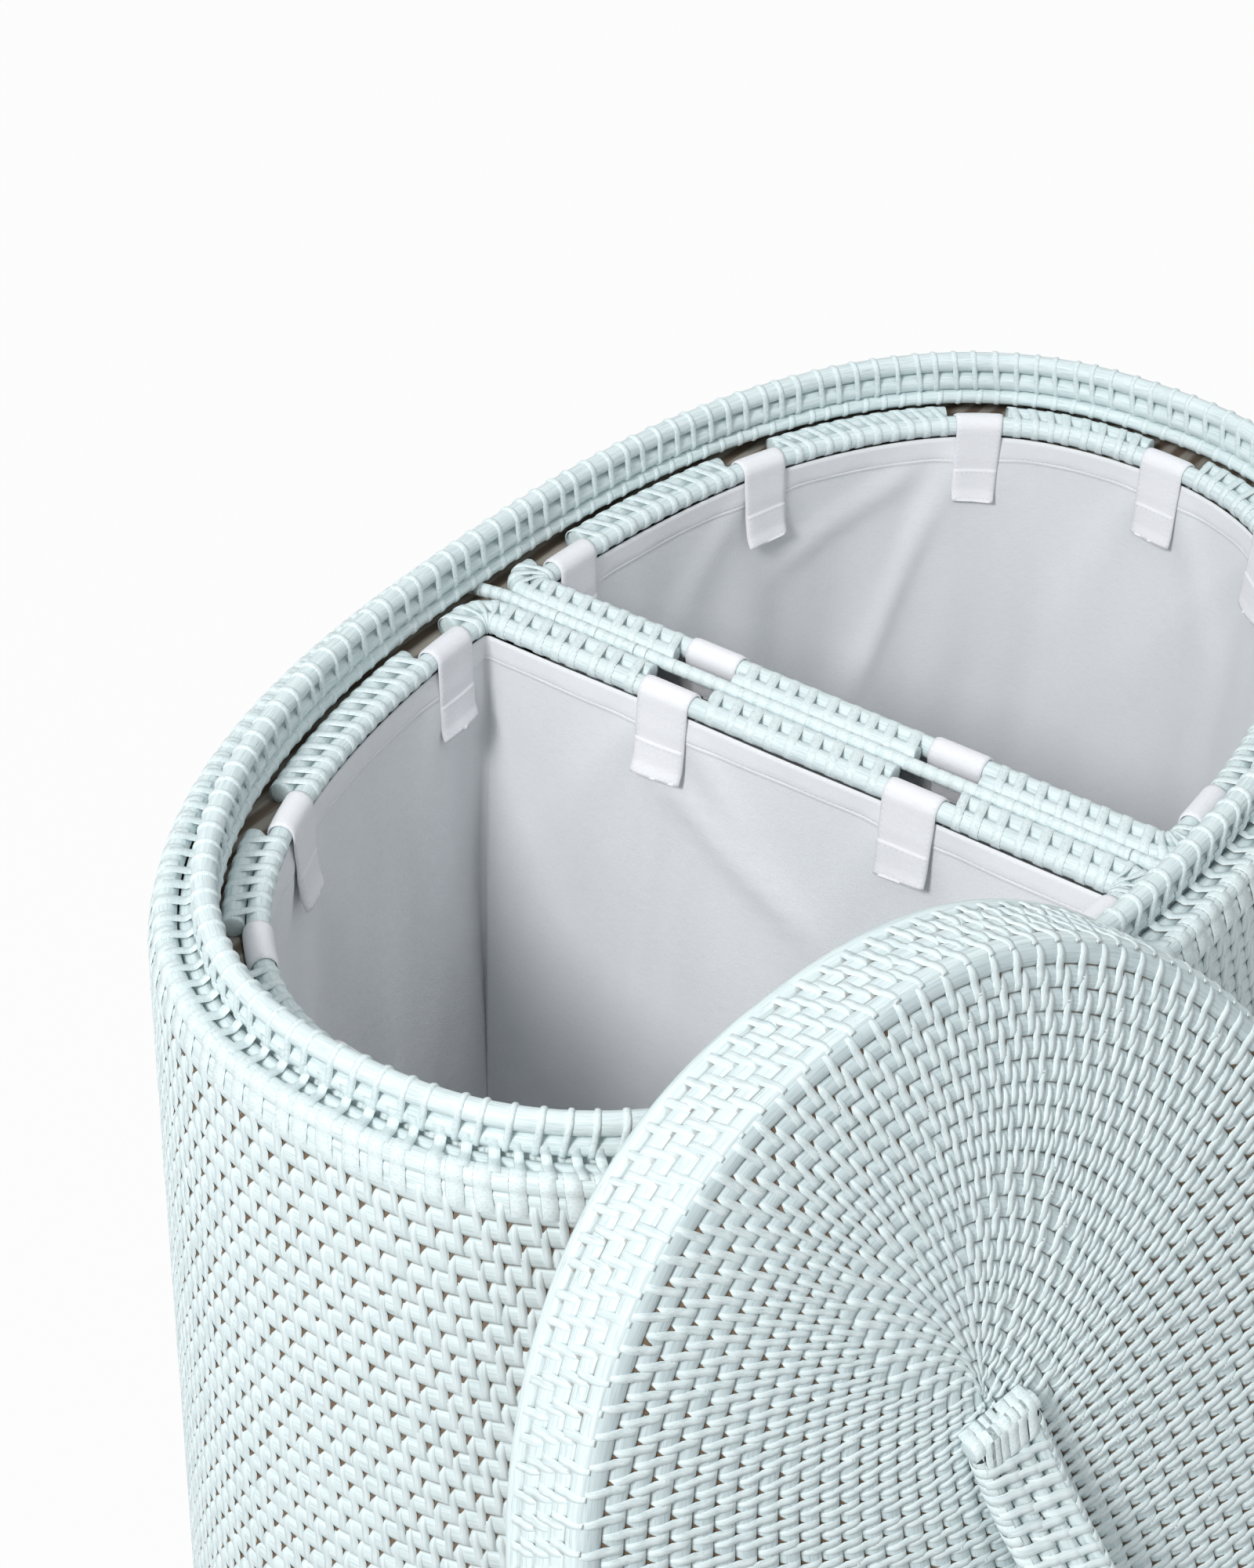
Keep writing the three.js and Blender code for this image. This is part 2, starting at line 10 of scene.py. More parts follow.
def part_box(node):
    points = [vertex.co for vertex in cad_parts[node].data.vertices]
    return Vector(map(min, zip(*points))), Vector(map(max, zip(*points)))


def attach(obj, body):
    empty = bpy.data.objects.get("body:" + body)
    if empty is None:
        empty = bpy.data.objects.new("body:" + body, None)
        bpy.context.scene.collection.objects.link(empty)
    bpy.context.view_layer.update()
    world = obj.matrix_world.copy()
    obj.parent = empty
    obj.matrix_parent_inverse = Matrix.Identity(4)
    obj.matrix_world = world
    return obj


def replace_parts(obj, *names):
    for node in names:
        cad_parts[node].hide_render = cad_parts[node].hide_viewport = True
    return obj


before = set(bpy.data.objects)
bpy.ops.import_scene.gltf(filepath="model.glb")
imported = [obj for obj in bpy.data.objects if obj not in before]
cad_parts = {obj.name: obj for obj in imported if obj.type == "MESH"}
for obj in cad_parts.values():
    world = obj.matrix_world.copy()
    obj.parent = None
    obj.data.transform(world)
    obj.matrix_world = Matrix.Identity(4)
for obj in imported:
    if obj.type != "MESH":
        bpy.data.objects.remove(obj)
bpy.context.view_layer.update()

MM = 0.001
rng = np.random.default_rng(7)

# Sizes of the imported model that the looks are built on
HALF_LENGTH, HALF_WIDTH, OVAL_POWER = 347 * MM, 214 * MM, 2.31
COIL_RADIUS = 4.9 * MM
FOOT_HEIGHT = 9.8 * MM
WALL_TOP = 584.3 * MM
WALL_THICKNESS = 9.8 * MM
SHOULDER = (7.6 * MM, 589.5 * MM)
RECESS, RECESS_RADIUS = (17.0 * MM, 587.0 * MM), 4.2 * MM
LEDGE, LEDGE_RADIUS = (25.3 * MM, 587.0 * MM), 3.8 * MM
NECK_INSET, NECK_TOP, NECK_LOWER = 24.0 * MM, 606.1 * MM, 596.0 * MM
FRAME_HEIGHT, FRAME_INSET = 580.6 * MM, 29.7 * MM
STRAIGHT_SIDE, CORNER_RADIUS = 4.0 * MM, 21.5 * MM
DIVIDER_HEIGHT, DIVIDER_RADIUS, DIVIDER_HALF = 579.1 * MM, 3.4 * MM, 203.7 * MM
OUTER_ROD, INNER_ROD = 4.9 * MM, 15.0 * MM
LINER_MOUTH, LINER_FOOT = 17.45 * MM, 31.45 * MM
LINER_TOP, LINER_BOTTOM = 575.4 * MM, 57.1 * MM
TAB_WIDTH, TAB_GAP = 27 * MM, 34 * MM
CORE_HALF, LID_CROWN, PANEL_INSET = 167 * MM, 7 * MM, 2.5 * MM
SKIRT_TOP, SKIRT_BOTTOM, LID_EDGE_Z = -1 * MM, -36.6 * MM, -41.7 * MM
HANDLE_Z, HANDLE_BAR_X, HANDLE_RISE = 12.3 * MM, 155 * MM, 30 * MM


# Plans


def run_lengths(points):
    """How far each point of a line lies along it."""
    return np.concatenate([[0], np.cumsum(np.linalg.norm(np.diff(points, axis=0), axis=1))])


class Plan:
    """A closed counterclockwise curve, read by the length along it and by the inset from it."""

    def __init__(self, points, normals):
        self.points = np.vstack([points, points[:1]])
        self.marks = run_lengths(self.points)
        self.length = self.marks[-1]
        self.normals = np.vstack([normals, normals[:1]])

    def normal(self, s):
        s = np.mod(s, self.length)
        return [np.interp(s, self.marks, self.normals[:, k]) for k in (0, 1)]

    def __call__(self, s, inset=0.0):
        nx, ny = self.normal(s)
        s = np.mod(s, self.length)
        x = np.interp(s, self.marks, self.points[:, 0])
        y = np.interp(s, self.marks, self.points[:, 1])
        return x - inset * nx, y - inset * ny

    def nearest(self, x, y):
        return int(np.argmin((self.points[:-1, 0] - x) ** 2 + (self.points[:-1, 1] - y) ** 2))


def oval_points(angles, inset):
    """Points and outward normals of the hamper's superellipse, set in by inset."""
    c, s = np.cos(angles), np.sin(angles)
    x = HALF_LENGTH * np.sign(c) * np.abs(c) ** (2 / OVAL_POWER)
    y = HALF_WIDTH * np.sign(s) * np.abs(s) ** (2 / OVAL_POWER)
    nx = np.sign(x) * np.abs(x / HALF_LENGTH) ** (OVAL_POWER - 1) / HALF_LENGTH
    ny = np.sign(y) * np.abs(y / HALF_WIDTH) ** (OVAL_POWER - 1) / HALF_WIDTH
    size = np.hypot(nx, ny)
    normals = np.stack([nx / size, ny / size], 1)
    return np.stack([x, y], 1) - inset * normals, normals


def oval_plan(inset=0.0):
    return Plan(*oval_points(np.linspace(0, 2 * np.pi, 4000, endpoint=False), inset))


def bin_plan():
    """The D-shaped outside of a bin's frame on the +X side."""
    angles = np.linspace(0, np.pi / 2, 4000)
    deep = oval_points(angles, FRAME_INSET + CORNER_RADIUS)[0]
    k = int(np.argmin(np.abs(deep[:, 0] - STRAIGHT_SIDE - CORNER_RADIUS)))
    centre = deep[k]
    edge = np.linspace(-angles[k], angles[k], 2000)
    side, side_normals = oval_points(edge, FRAME_INSET)
    start = math.atan2(side_normals[-1, 1], side_normals[-1, 0])
    turn = np.linspace(start, np.pi, 120)[1:]
    arc_normals = np.stack([np.cos(turn), np.sin(turn)], 1)
    arc = centre + CORNER_RADIUS * arc_normals
    line_y = np.linspace(centre[1], -centre[1], 400)[1:-1]
    line = np.stack([np.full_like(line_y, STRAIGHT_SIDE), line_y], 1)
    line_normals = np.tile([-1.0, 0.0], (len(line_y), 1))
    flip = np.array([1, -1])
    points = np.vstack([side, arc, line, (arc * flip)[::-1]])
    normals = np.vstack([side_normals, arc_normals, line_normals, (arc_normals * flip)[::-1]])
    return Plan(points, normals)


BODY = oval_plan()
BIN = bin_plan()

# The lid's own frame in the hamper's
LID_AXES = np.array([[-0.162, -0.94, -0.301], [0.28, 0.249, -0.927], [0.946, -0.234, 0.223]])
LID_PLACE = np.array([-208.65, -276.48, 344.67]) * MM


# Meshes


def linked(name, data):
    piece = bpy.data.objects.new(name, data)
    bpy.context.scene.collection.objects.link(piece)
    return piece


def fill(block, field, values, kind=np.float32):
    block.foreach_set(field, np.ascontiguousarray(values, dtype=kind).ravel())


def make(name, points, faces, looks, body, uv, grain, crack, look_of=None):
    """A smooth-shaded piece: points (..., 3), faces (m, 4), uv for its bake, grain by point, and by point how
    far the cane is darkened, to raw cane and painted shade.
    """
    mesh = bpy.data.meshes.new(name)
    mesh.vertices.add(points.size // 3)
    fill(mesh.vertices, "co", points)
    mesh.loops.add(faces.size)
    fill(mesh.loops, "vertex_index", faces, np.int32)
    mesh.polygons.add(len(faces))
    fill(mesh.polygons, "loop_start", np.arange(0, faces.size, 4), np.int32)
    mesh.update(calc_edges=True)
    fill(mesh.polygons, "use_smooth", np.ones(len(faces)), bool)
    fill(mesh.uv_layers.new(name="OFBake").uv, "vector", uv)
    fill(mesh.attributes.new("grain", "FLOAT_VECTOR", "POINT").data, "vector", grain)
    fill(mesh.attributes.new("crack", "FLOAT", "POINT").data, "value", crack)
    for look in looks:
        mesh.materials.append(look)
    if look_of is not None:
        fill(mesh.polygons, "material_index", look_of, np.int32)
    piece = linked(name, mesh)
    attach(piece, body)
    return piece


def grid_faces(rows, columns, wrap_rows, wrap_columns):
    """Quads of a grid of points, and each corner's place on the grid as two shares."""
    r = np.arange(rows if wrap_rows else rows - 1)
    c = np.arange(columns if wrap_columns else columns - 1)
    r, c = np.meshgrid(r, c, indexing="ij")
    up, right = (r + 1) % rows, (c + 1) % columns
    faces = np.stack([r * columns + c, r * columns + right, up * columns + right, up * columns + c], -1)
    last_r, last_c = len(r), len(r[0])
    corners = np.stack([c, r, c + 1, r, c + 1, r + 1, c, r + 1], -1).reshape(-1, 4, 2)
    return faces.reshape(-1, 4), corners / np.array([last_c, last_r])


def copied(faces, count, size):
    """The faces of count like grids, each of size points."""
    return (faces + (np.arange(count) * size)[:, None, None]).reshape(-1, 4)


def in_lid(points):
    """From the lid's own frame to the hamper's."""
    return points @ LID_AXES.T + LID_PLACE


def turned(points):
    """The front bin is the rear one turned half round."""
    return points * np.array([-1.0, -1.0, 1.0])


def as_is(points):
    return points


# Rings that close a cut end, each as its share of the radius and its step outwards in radii
TIP = ((0.93, 0.05), (0.5, 0.07), (0.02, 0.07))


def capped(points, faces, uv, grain, depth, rows, columns):
    """Closes both ends of a swept tube with a rounded tip."""
    for column, beside in ((0, 1), (columns - 1, columns - 2)):
        ring = np.arange(rows) * columns + column
        end = points[ring]
        middle = end.mean(0)
        size = np.linalg.norm(end - middle, axis=1).mean()
        near = points[beside] - points[column]
        out = -near / np.linalg.norm(near) * size
        for share, reach in TIP:
            fresh = len(points) + np.arange(rows)
            points = np.vstack([points, middle + (end - middle) * share + out * reach])
            grain = np.vstack([grain, grain[ring]])
            depth = np.concatenate([depth, depth[ring]])
            quads = np.stack([ring, fresh, np.roll(fresh, -1), np.roll(ring, -1)], -1)
            faces = np.vstack([faces, quads if column else quads[:, ::-1]])
            uv = np.vstack([uv, np.zeros((rows, 4, 2))])
            ring = fresh
    return points, faces, uv, grain, depth


def sweep(name, plan, profile, body, crack=None, columns=240, span=None, place=as_is, looks=None,
          look_of=None):
    """Carries a closed profile of (inset, height) round a plan, or along span=(from, to) with tips.

    look_of gives each profile point's material, for a closed sweep alone."""
    inset, height = np.array(profile).T
    closed = span is None
    s = np.arange(columns) / columns * plan.length if closed else np.linspace(*span, columns)
    rows = len(inset)
    ss, ii = np.meshgrid(s, inset)
    x, y = plan(ss, ii)
    points = np.stack([x, y, height[:, None] + 0 * ss], -1).reshape(-1, 3)
    faces, uv = grid_faces(rows, columns, True, closed)
    steps = np.hypot(np.diff(inset, append=inset[0]), np.diff(height, append=height[0]))
    across = np.concatenate([[0], np.cumsum(steps)[:-1]])
    grain = np.stack([ss, across[:, None] + 0 * ss, 0 * ss], -1).reshape(-1, 3)
    # Each profile point's depth into its groove darkens the cane there: raw cane, with painted shade over it
    depth = np.zeros(ss.size) if crack is None else np.repeat(crack, columns)
    wears = None if look_of is None else np.repeat(look_of, columns)
    if not closed:
        points, faces, uv, grain, depth = capped(points, faces, uv, grain, depth, rows, columns)
    return make(name, place(points), faces[:, ::-1], looks or [coil_look], body, uv[:, ::-1], grain, depth,
                wears)


def circle(inset, height, radius, sides=12):
    turn = np.arange(sides) / sides * 2 * np.pi
    return np.stack([inset + radius * np.cos(turn), height + radius * np.sin(turn)], 1)


# A strand's length: stations from its top to its foot, height over its surface and share of its width
LAID = (np.array([0, 0.05, 0.12, 0.22, 0.36, 0.5, 0.64, 0.78, 0.88, 0.95, 1]),
        np.array([-2.6, -1.4, -0.6, -0.05, -0.1, -0.5, -0.1, -0.05, -0.6, -1.4, -2.6]) * MM,
        np.array([0.6, 0.78, 0.88, 0.94, 0.97, 1, 1, 1, 1, 0.97, 0.92]))
# A strand's section: places across it, height over its middle, and how much painted shade it gets: a shadow
# line along one edge of the flat one, shade at both edges of the domed one
THIN = (np.array([-1, -0.86, 0.86, 1]), np.array([-0.75, 0, 0, -0.75]) * MM, np.zeros(4))
FLAT = (np.array([-1.16, -1, 0.94, 1.04]), np.array([-0.55, 0, 0, -0.5]) * MM, np.array([1.0, 0.15, 0, 0.3]))
DOMED = (np.array([-1, -0.8, -0.3, 0.3, 0.8, 1]), np.array([-1.3, -0.3, 0, 0, -0.3, -1.3]) * MM,
         np.array([0.45, 0, 0, 0, 0, 0.45]))
# Waver of a strand's path, and how deep a strand dips below its surface before it is fully painted in shade
WAVER, FULL_SHADE_DIP = 0.25 * MM, 3.4 * MM


def strands(name, surface, s0, s1, v0, v1, width, body, lift=0.0, laid=LAID, section=THIN, sway=None,
            place=as_is, pieces=1, look=None):
    """Flat strands laid over a surface(s, v, out), each from (s0, v0) to (s1, v1)."""
    arrays = np.broadcast_arrays(s0, s1, v0, v1, width, lift)
    s0, s1, v0, v1, width, lift = [np.asarray(a, dtype=float)[:, None, None] for a in arrays]
    t, h, w = [a[None, :, None] for a in laid]
    u, d, rim = [a[None, None, :] for a in section]
    aside = t if sway is None else sway[None, :, None]
    bend = rng.normal(0, WAVER, s0.shape) * np.sin(np.pi * t)
    s = s0 + (s1 - s0) * aside + bend + u * w * width / 2
    v = v0 + (v1 - v0) * t + 0 * u
    out = h + d + lift + 0 * u
    points = surface(s, v, out)
    count, m, k = s.shape
    seeds = rng.random(count)[:, None, None] + 0 * s
    grain = np.stack([(v - v0) + 0 * s, u * width / 2 + 0 * s, seeds * 9], -1)
    # Painted shade: the strand darkens as it dips into the gap between coils, and along its edges as the
    # section gives
    crack = np.clip(-h / FULL_SHADE_DIP, 0, 1) + rim + 0 * s
    faces, uv = grid_faces(m, k, False, False)
    side = int(np.ceil(np.sqrt(count / pieces)))
    for part, chosen in enumerate(np.array_split(np.arange(count), pieces)):
        n = len(chosen)
        many = copied(faces, n, m * k)
        cell = np.stack([np.arange(n) % side, np.arange(n) // side], -1)[:, None, None, :]
        maps = ((uv[None] * 0.9 + 0.05 + cell) / side).reshape(-1, 4, 2)
        title = name if pieces == 1 else f"{name}_{part + 1}"
        make(title, place(points[chosen]), many, [look or strand_look], body, maps, grain[chosen],
             crack[chosen])


def wedges(name, surface, s, v, fall, body, place=as_is, shade=1.0):
    """Sheets painted dark as the shade in the opening beside each strand, at the top of the gap between two
    coils.
    """
    t = np.array([-0.1, 0.15, 0.5, 1.0])[None, :, None]
    wide = np.array([2.0, 1.7, 0.9, 0.25])[None, :, None] * MM
    u = np.array([0.0, 1.0])[None, None, :]
    grow = rng.uniform(0.45, 1.15, len(s))[:, None, None]
    tuck = 0.5 * MM
    ss = np.asarray(s)[:, None, None] - tuck + u * (wide * grow + tuck) + 0 * t
    vv = np.asarray(v)[:, None, None] + fall * t + 0 * u
    out = wedge_depth(np.clip(t, 0, 1)) + 0 * ss
    points = surface(ss, vv, out)
    faces, uv = grid_faces(4, 2, False, False)
    n = len(s)
    many = copied(faces, n, 4 * 2)
    maps = np.tile(uv.reshape(-1, 4, 2), (n, 1, 1))
    grain = np.stack([ss - ss[:, :1, :1], vv - vv[:, :1, :1], rng.random(n)[:, None, None] * 9 + 0 * ss], -1)
    # Painted shade, a little lighter towards the wedge's lower end
    dark = np.broadcast_to(shade - 0.12 * t, ss.shape)
    make(name, place(points), many, [coil_look], body, maps, grain, dark)


# Materials


class Graph:
    """The node tree of a material or world, built one node at a time."""

    def __init__(self, owner):
        owner.use_nodes = True
        self.owner = owner
        self.tree = owner.node_tree
        self.tree.nodes.clear()

    def add(self, kind, *values, **settings):
        node = self.tree.nodes.new(kind)
        for key, value in settings.items():
            setattr(node, key, value)
        for socket, value in values:
            target = node.inputs[socket]
            if isinstance(value, bpy.types.NodeSocket):
                self.tree.links.new(value, target)
            else:
                target.default_value = value
        return node

    def math(self, operation, *values):
        return self.add("ShaderNodeMath", *enumerate(values), operation=operation).outputs[0]

    def times(self, a, b):
        return self.math("MULTIPLY", a, b)

    def plus(self, a, b):
        return self.math("ADD", a, b)

    def read(self, attribute, output):
        return self.add("ShaderNodeAttribute", attribute_name=attribute).outputs[output]

    def place(self):
        return self.add("ShaderNodeTexCoord").outputs["Object"]

    def noise(self, vector, scale, detail=2.0, roughness=0.5):
        return self.add("ShaderNodeTexNoise", ("Vector", vector), ("Scale", scale), ("Detail", detail),
                        ("Roughness", roughness)).outputs["Fac"]

    def fibres(self, vector, factors, detail=3.0, roughness=0.6):
        long = self.add("ShaderNodeVectorMath", (0, vector), (1, factors), operation="MULTIPLY").outputs[0]
        return self.noise(long, 1.0, detail, roughness)

    def ramp(self, value, low, high, start=0.0, end=1.0):
        return self.add("ShaderNodeMapRange", ("Value", value), ("From Min", low), ("From Max", high),
                        ("To Min", start), ("To Max", end), interpolation_type="SMOOTHSTEP").outputs[0]

    def mix(self, factor, a, b):
        return self.add("ShaderNodeMix", (0, factor), (6, a), (7, b), data_type="RGBA").outputs[2]

    def bump(self, height, strength, distance):
        return self.add("ShaderNodeBump", ("Height", height), ("Strength", strength),
                        ("Distance", distance)).outputs[0]

    def surface(self, colour, roughness, normal, sheen=0.0, specular=0.5):
        shader = self.add("ShaderNodeBsdfPrincipled", ("Base Color", colour), ("Roughness", roughness),
                          ("Normal", normal), ("Sheen Weight", sheen), ("Specular IOR Level", specular))
        self.add("ShaderNodeOutputMaterial", ("Surface", shader.outputs[0]))
        return self.owner


def material_graph(name):
    return Graph(bpy.data.materials.new(name))


WHITE = (1, 1, 1, 1)


def srgb(r, g, b):
    def linear(value):
        value /= 255
        return value / 12.92 if value <= 0.04045 else ((value + 0.055) / 1.055) ** 2.4

    return (linear(r), linear(g), linear(b), 1.0)


# The third colour is raw cane's brown for worn patches and grooves. It is dark enough to serve as the painted
# shade in the grooves, at strand tips and edges, and in the wedges.
PAINT, PAINT_DARK, RAW_CANE_AND_SHADE = srgb(226, 238, 239), srgb(196, 212, 214), srgb(104, 84, 64)
NATURAL, NATURAL_DARK = srgb(178, 148, 112), srgb(120, 92, 64)
BOARD, BOARD_DARK = srgb(172, 166, 156), srgb(112, 98, 84)


def cane(name, light, dark, raw_and_shade_colour, wear):
    """Cane whose colour follows its fibres, worn in patches to raw cane, and darker where each point's mark
    says: raw cane with painted shade over it in the grooves, and painted shade at strands' tips and edges and
    in the wedges.
    """
    g = material_graph(name)
    grain = g.read("grain", "Vector")
    crack = g.read("crack", "Fac")
    fibre = g.fibres(grain, (90, 2600, 7))
    long = g.fibres(grain, (30, 700, 3), 2.0, 0.5)
    blotch = g.noise(g.place(), 34.0, 3.0, 0.6)
    tone = g.plus(g.times(fibre, 0.55), g.times(long, 0.45))
    colour = g.mix(g.ramp(tone, 0.42, 0.68), light, dark)
    worn = g.times(g.ramp(fibre, 0.58, 0.72), g.ramp(blotch, 0.52, 0.68))
    colour = g.mix(g.times(worn, wear), colour, raw_and_shade_colour)
    # Painted shade: the mesh's mark, broken up by the blotches, darkens the cane towards the raw cane and shade
    # colour
    deep = g.plus(crack, g.times(g.math("SUBTRACT", blotch, 0.5), 0.5))
    colour = g.mix(g.ramp(deep, 0.55, 0.95), colour, raw_and_shade_colour)
    rough = g.ramp(tone, 0.3, 0.7, 0.42, 0.62)
    return g.surface(colour, rough, g.bump(tone, 0.35, 0.4 * MM))


THREAD_PITCH, STITCH_PITCH = 0.9 * MM, 3.0 * MM


def cotton(name, light, shade, rows, hem):
    """Plain-weave cotton with rows of stitches, each as (along its grain 0 or 1, at), painted shade along each
    row, and a paler hem.
    """
    g = material_graph(name)
    grain = g.read("grain", "Vector")
    split = g.add("ShaderNodeSeparateXYZ", (0, grain))
    warp, weft = [g.math("SINE", g.times(split.outputs[k], 2 * math.pi / THREAD_PITCH)) for k in (0, 1)]
    weave = g.times(warp, weft)
    slub = g.fibres(grain, (900, 500, 1))
    thread = g.fibres(grain, (120, 1400, 1), 2.0, 0.5)
    blotch = g.noise(g.place(), 9.0, 3.0, 0.5)
    worn = g.plus(g.times(g.ramp(slub, 0.4, 0.7), 0.3), g.times(g.ramp(thread, 0.4, 0.7), 0.3))
    colour = g.mix(g.plus(worn, g.times(g.ramp(blotch, 0.35, 0.7), 0.4)), light, shade)
    pale = g.ramp(split.outputs[1], hem + 0.3 * MM, hem - 0.3 * MM, 0, 0.35)
    colour = g.mix(pale, colour, srgb(250, 250, 252))
    height = g.plus(g.times(weave, 0.5), slub)
    for across, at in rows:
        far = g.math("ABSOLUTE", g.math("SUBTRACT", g.math("ABSOLUTE", split.outputs[across]), at))
        near = g.ramp(far, 0.7 * MM, 0.2 * MM)
        dash = g.math("SINE", g.times(split.outputs[1 - across], 2 * math.pi / STITCH_PITCH))
        # Painted shade along the stitch line, where the thread pulls the cloth in
        colour = g.mix(g.times(near, 0.14), colour, srgb(190, 192, 198))
        faint = g.times(near, 0.45)
        colour = g.mix(g.times(faint, g.ramp(dash, -0.3, 0.1)), colour, srgb(250, 250, 251))
        height = g.math("SUBTRACT", height, faint)
    rough = g.ramp(slub, 0.3, 0.7, 0.8, 0.95)
    return g.surface(colour, rough, g.bump(height, 0.3, 0.25 * MM), sheen=0.2, specular=0.2)


def natural(name):
    """Plain boards with rows of fibres along X."""
    g = material_graph(name)
    place = g.place()
    rows = g.add("ShaderNodeTexWave", ("Vector", place), ("Scale", 30.0), ("Distortion", 0.6),
                 wave_type="BANDS", bands_direction="Y").outputs["Fac"]
    fibre = g.fibres(place, (60, 900, 60))
    tone = g.plus(g.times(rows, 0.5), g.times(fibre, 0.5))
    colour = g.mix(g.ramp(tone, 0.3, 0.7), BOARD_DARK, BOARD)
    return g.surface(colour, g.ramp(tone, 0.3, 0.7, 0.8, 0.6), g.bump(tone, 0.5, 1 * MM))


coil_look = cane("painted_coil", PAINT, PAINT_DARK, RAW_CANE_AND_SHADE, 0.5)
strand_look = cane("painted_strand", srgb(230, 241, 242), srgb(202, 217, 219), RAW_CANE_AND_SHADE, 0.3)
# The lid's coils are painted a darker tone than the wall's: painted shade for the light the lid's slanted face
# gets less of
lid_shaded_look = cane("lid_coil_painted_shade", srgb(209, 222, 224), srgb(180, 197, 200), RAW_CANE_AND_SHADE, 0.5)
inside_look = cane("natural_coil", NATURAL, NATURAL_DARK, srgb(70, 50, 34), 0.4)
cotton_look = cotton("white_cotton", srgb(233, 235, 237), srgb(222, 225, 229), [(1, 11.4 * MM)], 12.5 * MM)
tape_look = cotton("cotton_tape", srgb(243, 243, 246), srgb(232, 232, 237),
                   [(0, 11.8 * MM), (1, 16.2 * MM), (1, 1.6 * MM)], -200 * MM)
plain_look = natural("natural_board")
for node in ("base_panel", "bin_shelf"):
    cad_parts[node].data.materials.clear()
    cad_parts[node].data.materials.append(plain_look)


# The body's wall

ROWS = 54
PITCH = (WALL_TOP - FOOT_HEIGHT) / ROWS
# Stations across one coil, outside and inside
ROUND = np.array([0, 0.08, 0.25, 0.5, 0.75, 0.92])
COARSE = np.array([0, 0.25, 0.75])
CREST, DEPTH = 0.6 * MM, 2.4 * MM


def sunk(q):
    """How far a round coil's surface lies under its crest, as a share, q across it."""
    return 1 - np.sqrt(1 - (2 * q - 1) ** 2 * 0.98)


def coil_rows(count, bottom, pitch, stations=ROUND):
    """Profile of stacked coils from the bottom up: (inset, height) and how deep each point is."""
    height = (bottom + (np.arange(count)[:, None] + stations) * pitch).ravel()
    sink = sunk(stations)
    return np.stack([np.tile(CREST + sink * DEPTH, count), height], 1), np.tile(sink, count)


def coiled_wall(name, rows, bottom, pitch, body, columns, place=as_is, crown=()):
    """Wall of painted coils, plain inside, with the points of crown above its outside."""
    outer, deep = coil_rows(rows, bottom, pitch)
    outer = np.vstack([outer, *crown])
    deep = np.append(deep, np.full(len(crown), 0.3))
    inner, inner_deep = coil_rows(rows, bottom, pitch, COARSE)
    inner = inner[::-1] * [-1, 1] + [WALL_THICKNESS, 0]
    return sweep(name, BODY, np.vstack([outer, inner]), body, np.concatenate([deep, inner_deep[::-1]]),
                 columns, place=place, looks=[coil_look, inside_look],
                 look_of=np.repeat([0, 1], [len(outer), len(inner)]))


UNDER_SHOULDER = np.array([(1.7, 0.4), (2.3, 2.2), (5, 4.2)]) * MM + [0, WALL_TOP]
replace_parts(coiled_wall("wall_coils", ROWS, FOOT_HEIGHT, PITCH, "hamper", 198, crown=UNDER_SHOULDER), "wall")


def on_wall(s, z, out):
    x, y = BODY(s, -out)
    return np.stack([x, y, z + 0 * x], -1)


def in_wall(s, z, out):
    return on_wall(s, z, -WALL_THICKNESS - out)


def wedge_depth(q):
    """A wedge lies just over the coil, q from its upper end to its lower one."""
    return 0.14 * MM - CREST - sunk(q * 0.34 + 0.01) * DEPTH


STITCHES = 164
PERIOD = BODY.length / STITCHES
STITCH_SHIFT, STITCH_LEAN, STITCH_WIDTH = 4.6 * MM, 1.2 * MM, 3.7 * MM
WEDGE_FALL = 0.33
INSIDE_LAID = (np.array([0, 0.15, 0.5, 0.85, 1]), np.array([-3, -0.4, -0.8, -0.4, -3]) * MM,
               np.array([0.6, 0.9, 1, 0.9, 0.6]))
INSIDE_SECTION = (np.array([1, -1]), np.zeros(2), np.zeros(2))


def row_strands(name, rows, first, bottom, lowest, pitch, body, place=as_is, pieces=1, inside=False,
                shade=1.0):
    """Rows of leaning strands, each over two coils, with a wedge beside each lower half."""
    row = np.repeat(np.arange(first, rows), STITCHES)
    index = np.tile(np.arange(STITCHES), rows - first)
    start = index * PERIOD - row * STITCH_SHIFT + rng.normal(0, 0.4 * MM, row.size)
    lean = 2 * STITCH_LEAN + rng.normal(0, 0.45 * MM, row.size)
    top = bottom + (row + 1) * pitch
    low = np.maximum(top - 2 * pitch, lowest)
    width = STITCH_WIDTH * rng.normal(1, 0.07, row.size)
    strands(name, on_wall, start, start + lean, top, low, width, body,
            rng.normal(-0.1 * MM, 0.1 * MM, row.size), place=place, pieces=pieces)
    if inside:
        strands(f"{body}_inside_strands", in_wall, start, start + lean, top, low, width, body, 0.0,
                INSIDE_LAID, INSIDE_SECTION, place=place, look=inside_look)
    chosen = row >= max(first, 0)
    beside = (start + lean / 2 + width / 2)[chosen]
    wedges(f"{name}_shade", on_wall, beside, (top - pitch)[chosen], -WEDGE_FALL * pitch, body, place, shade)


row_strands("wall_strands", ROWS, -1, FOOT_HEIGHT, FOOT_HEIGHT - 4 * MM, PITCH, "hamper", pieces=4,
            inside=True)

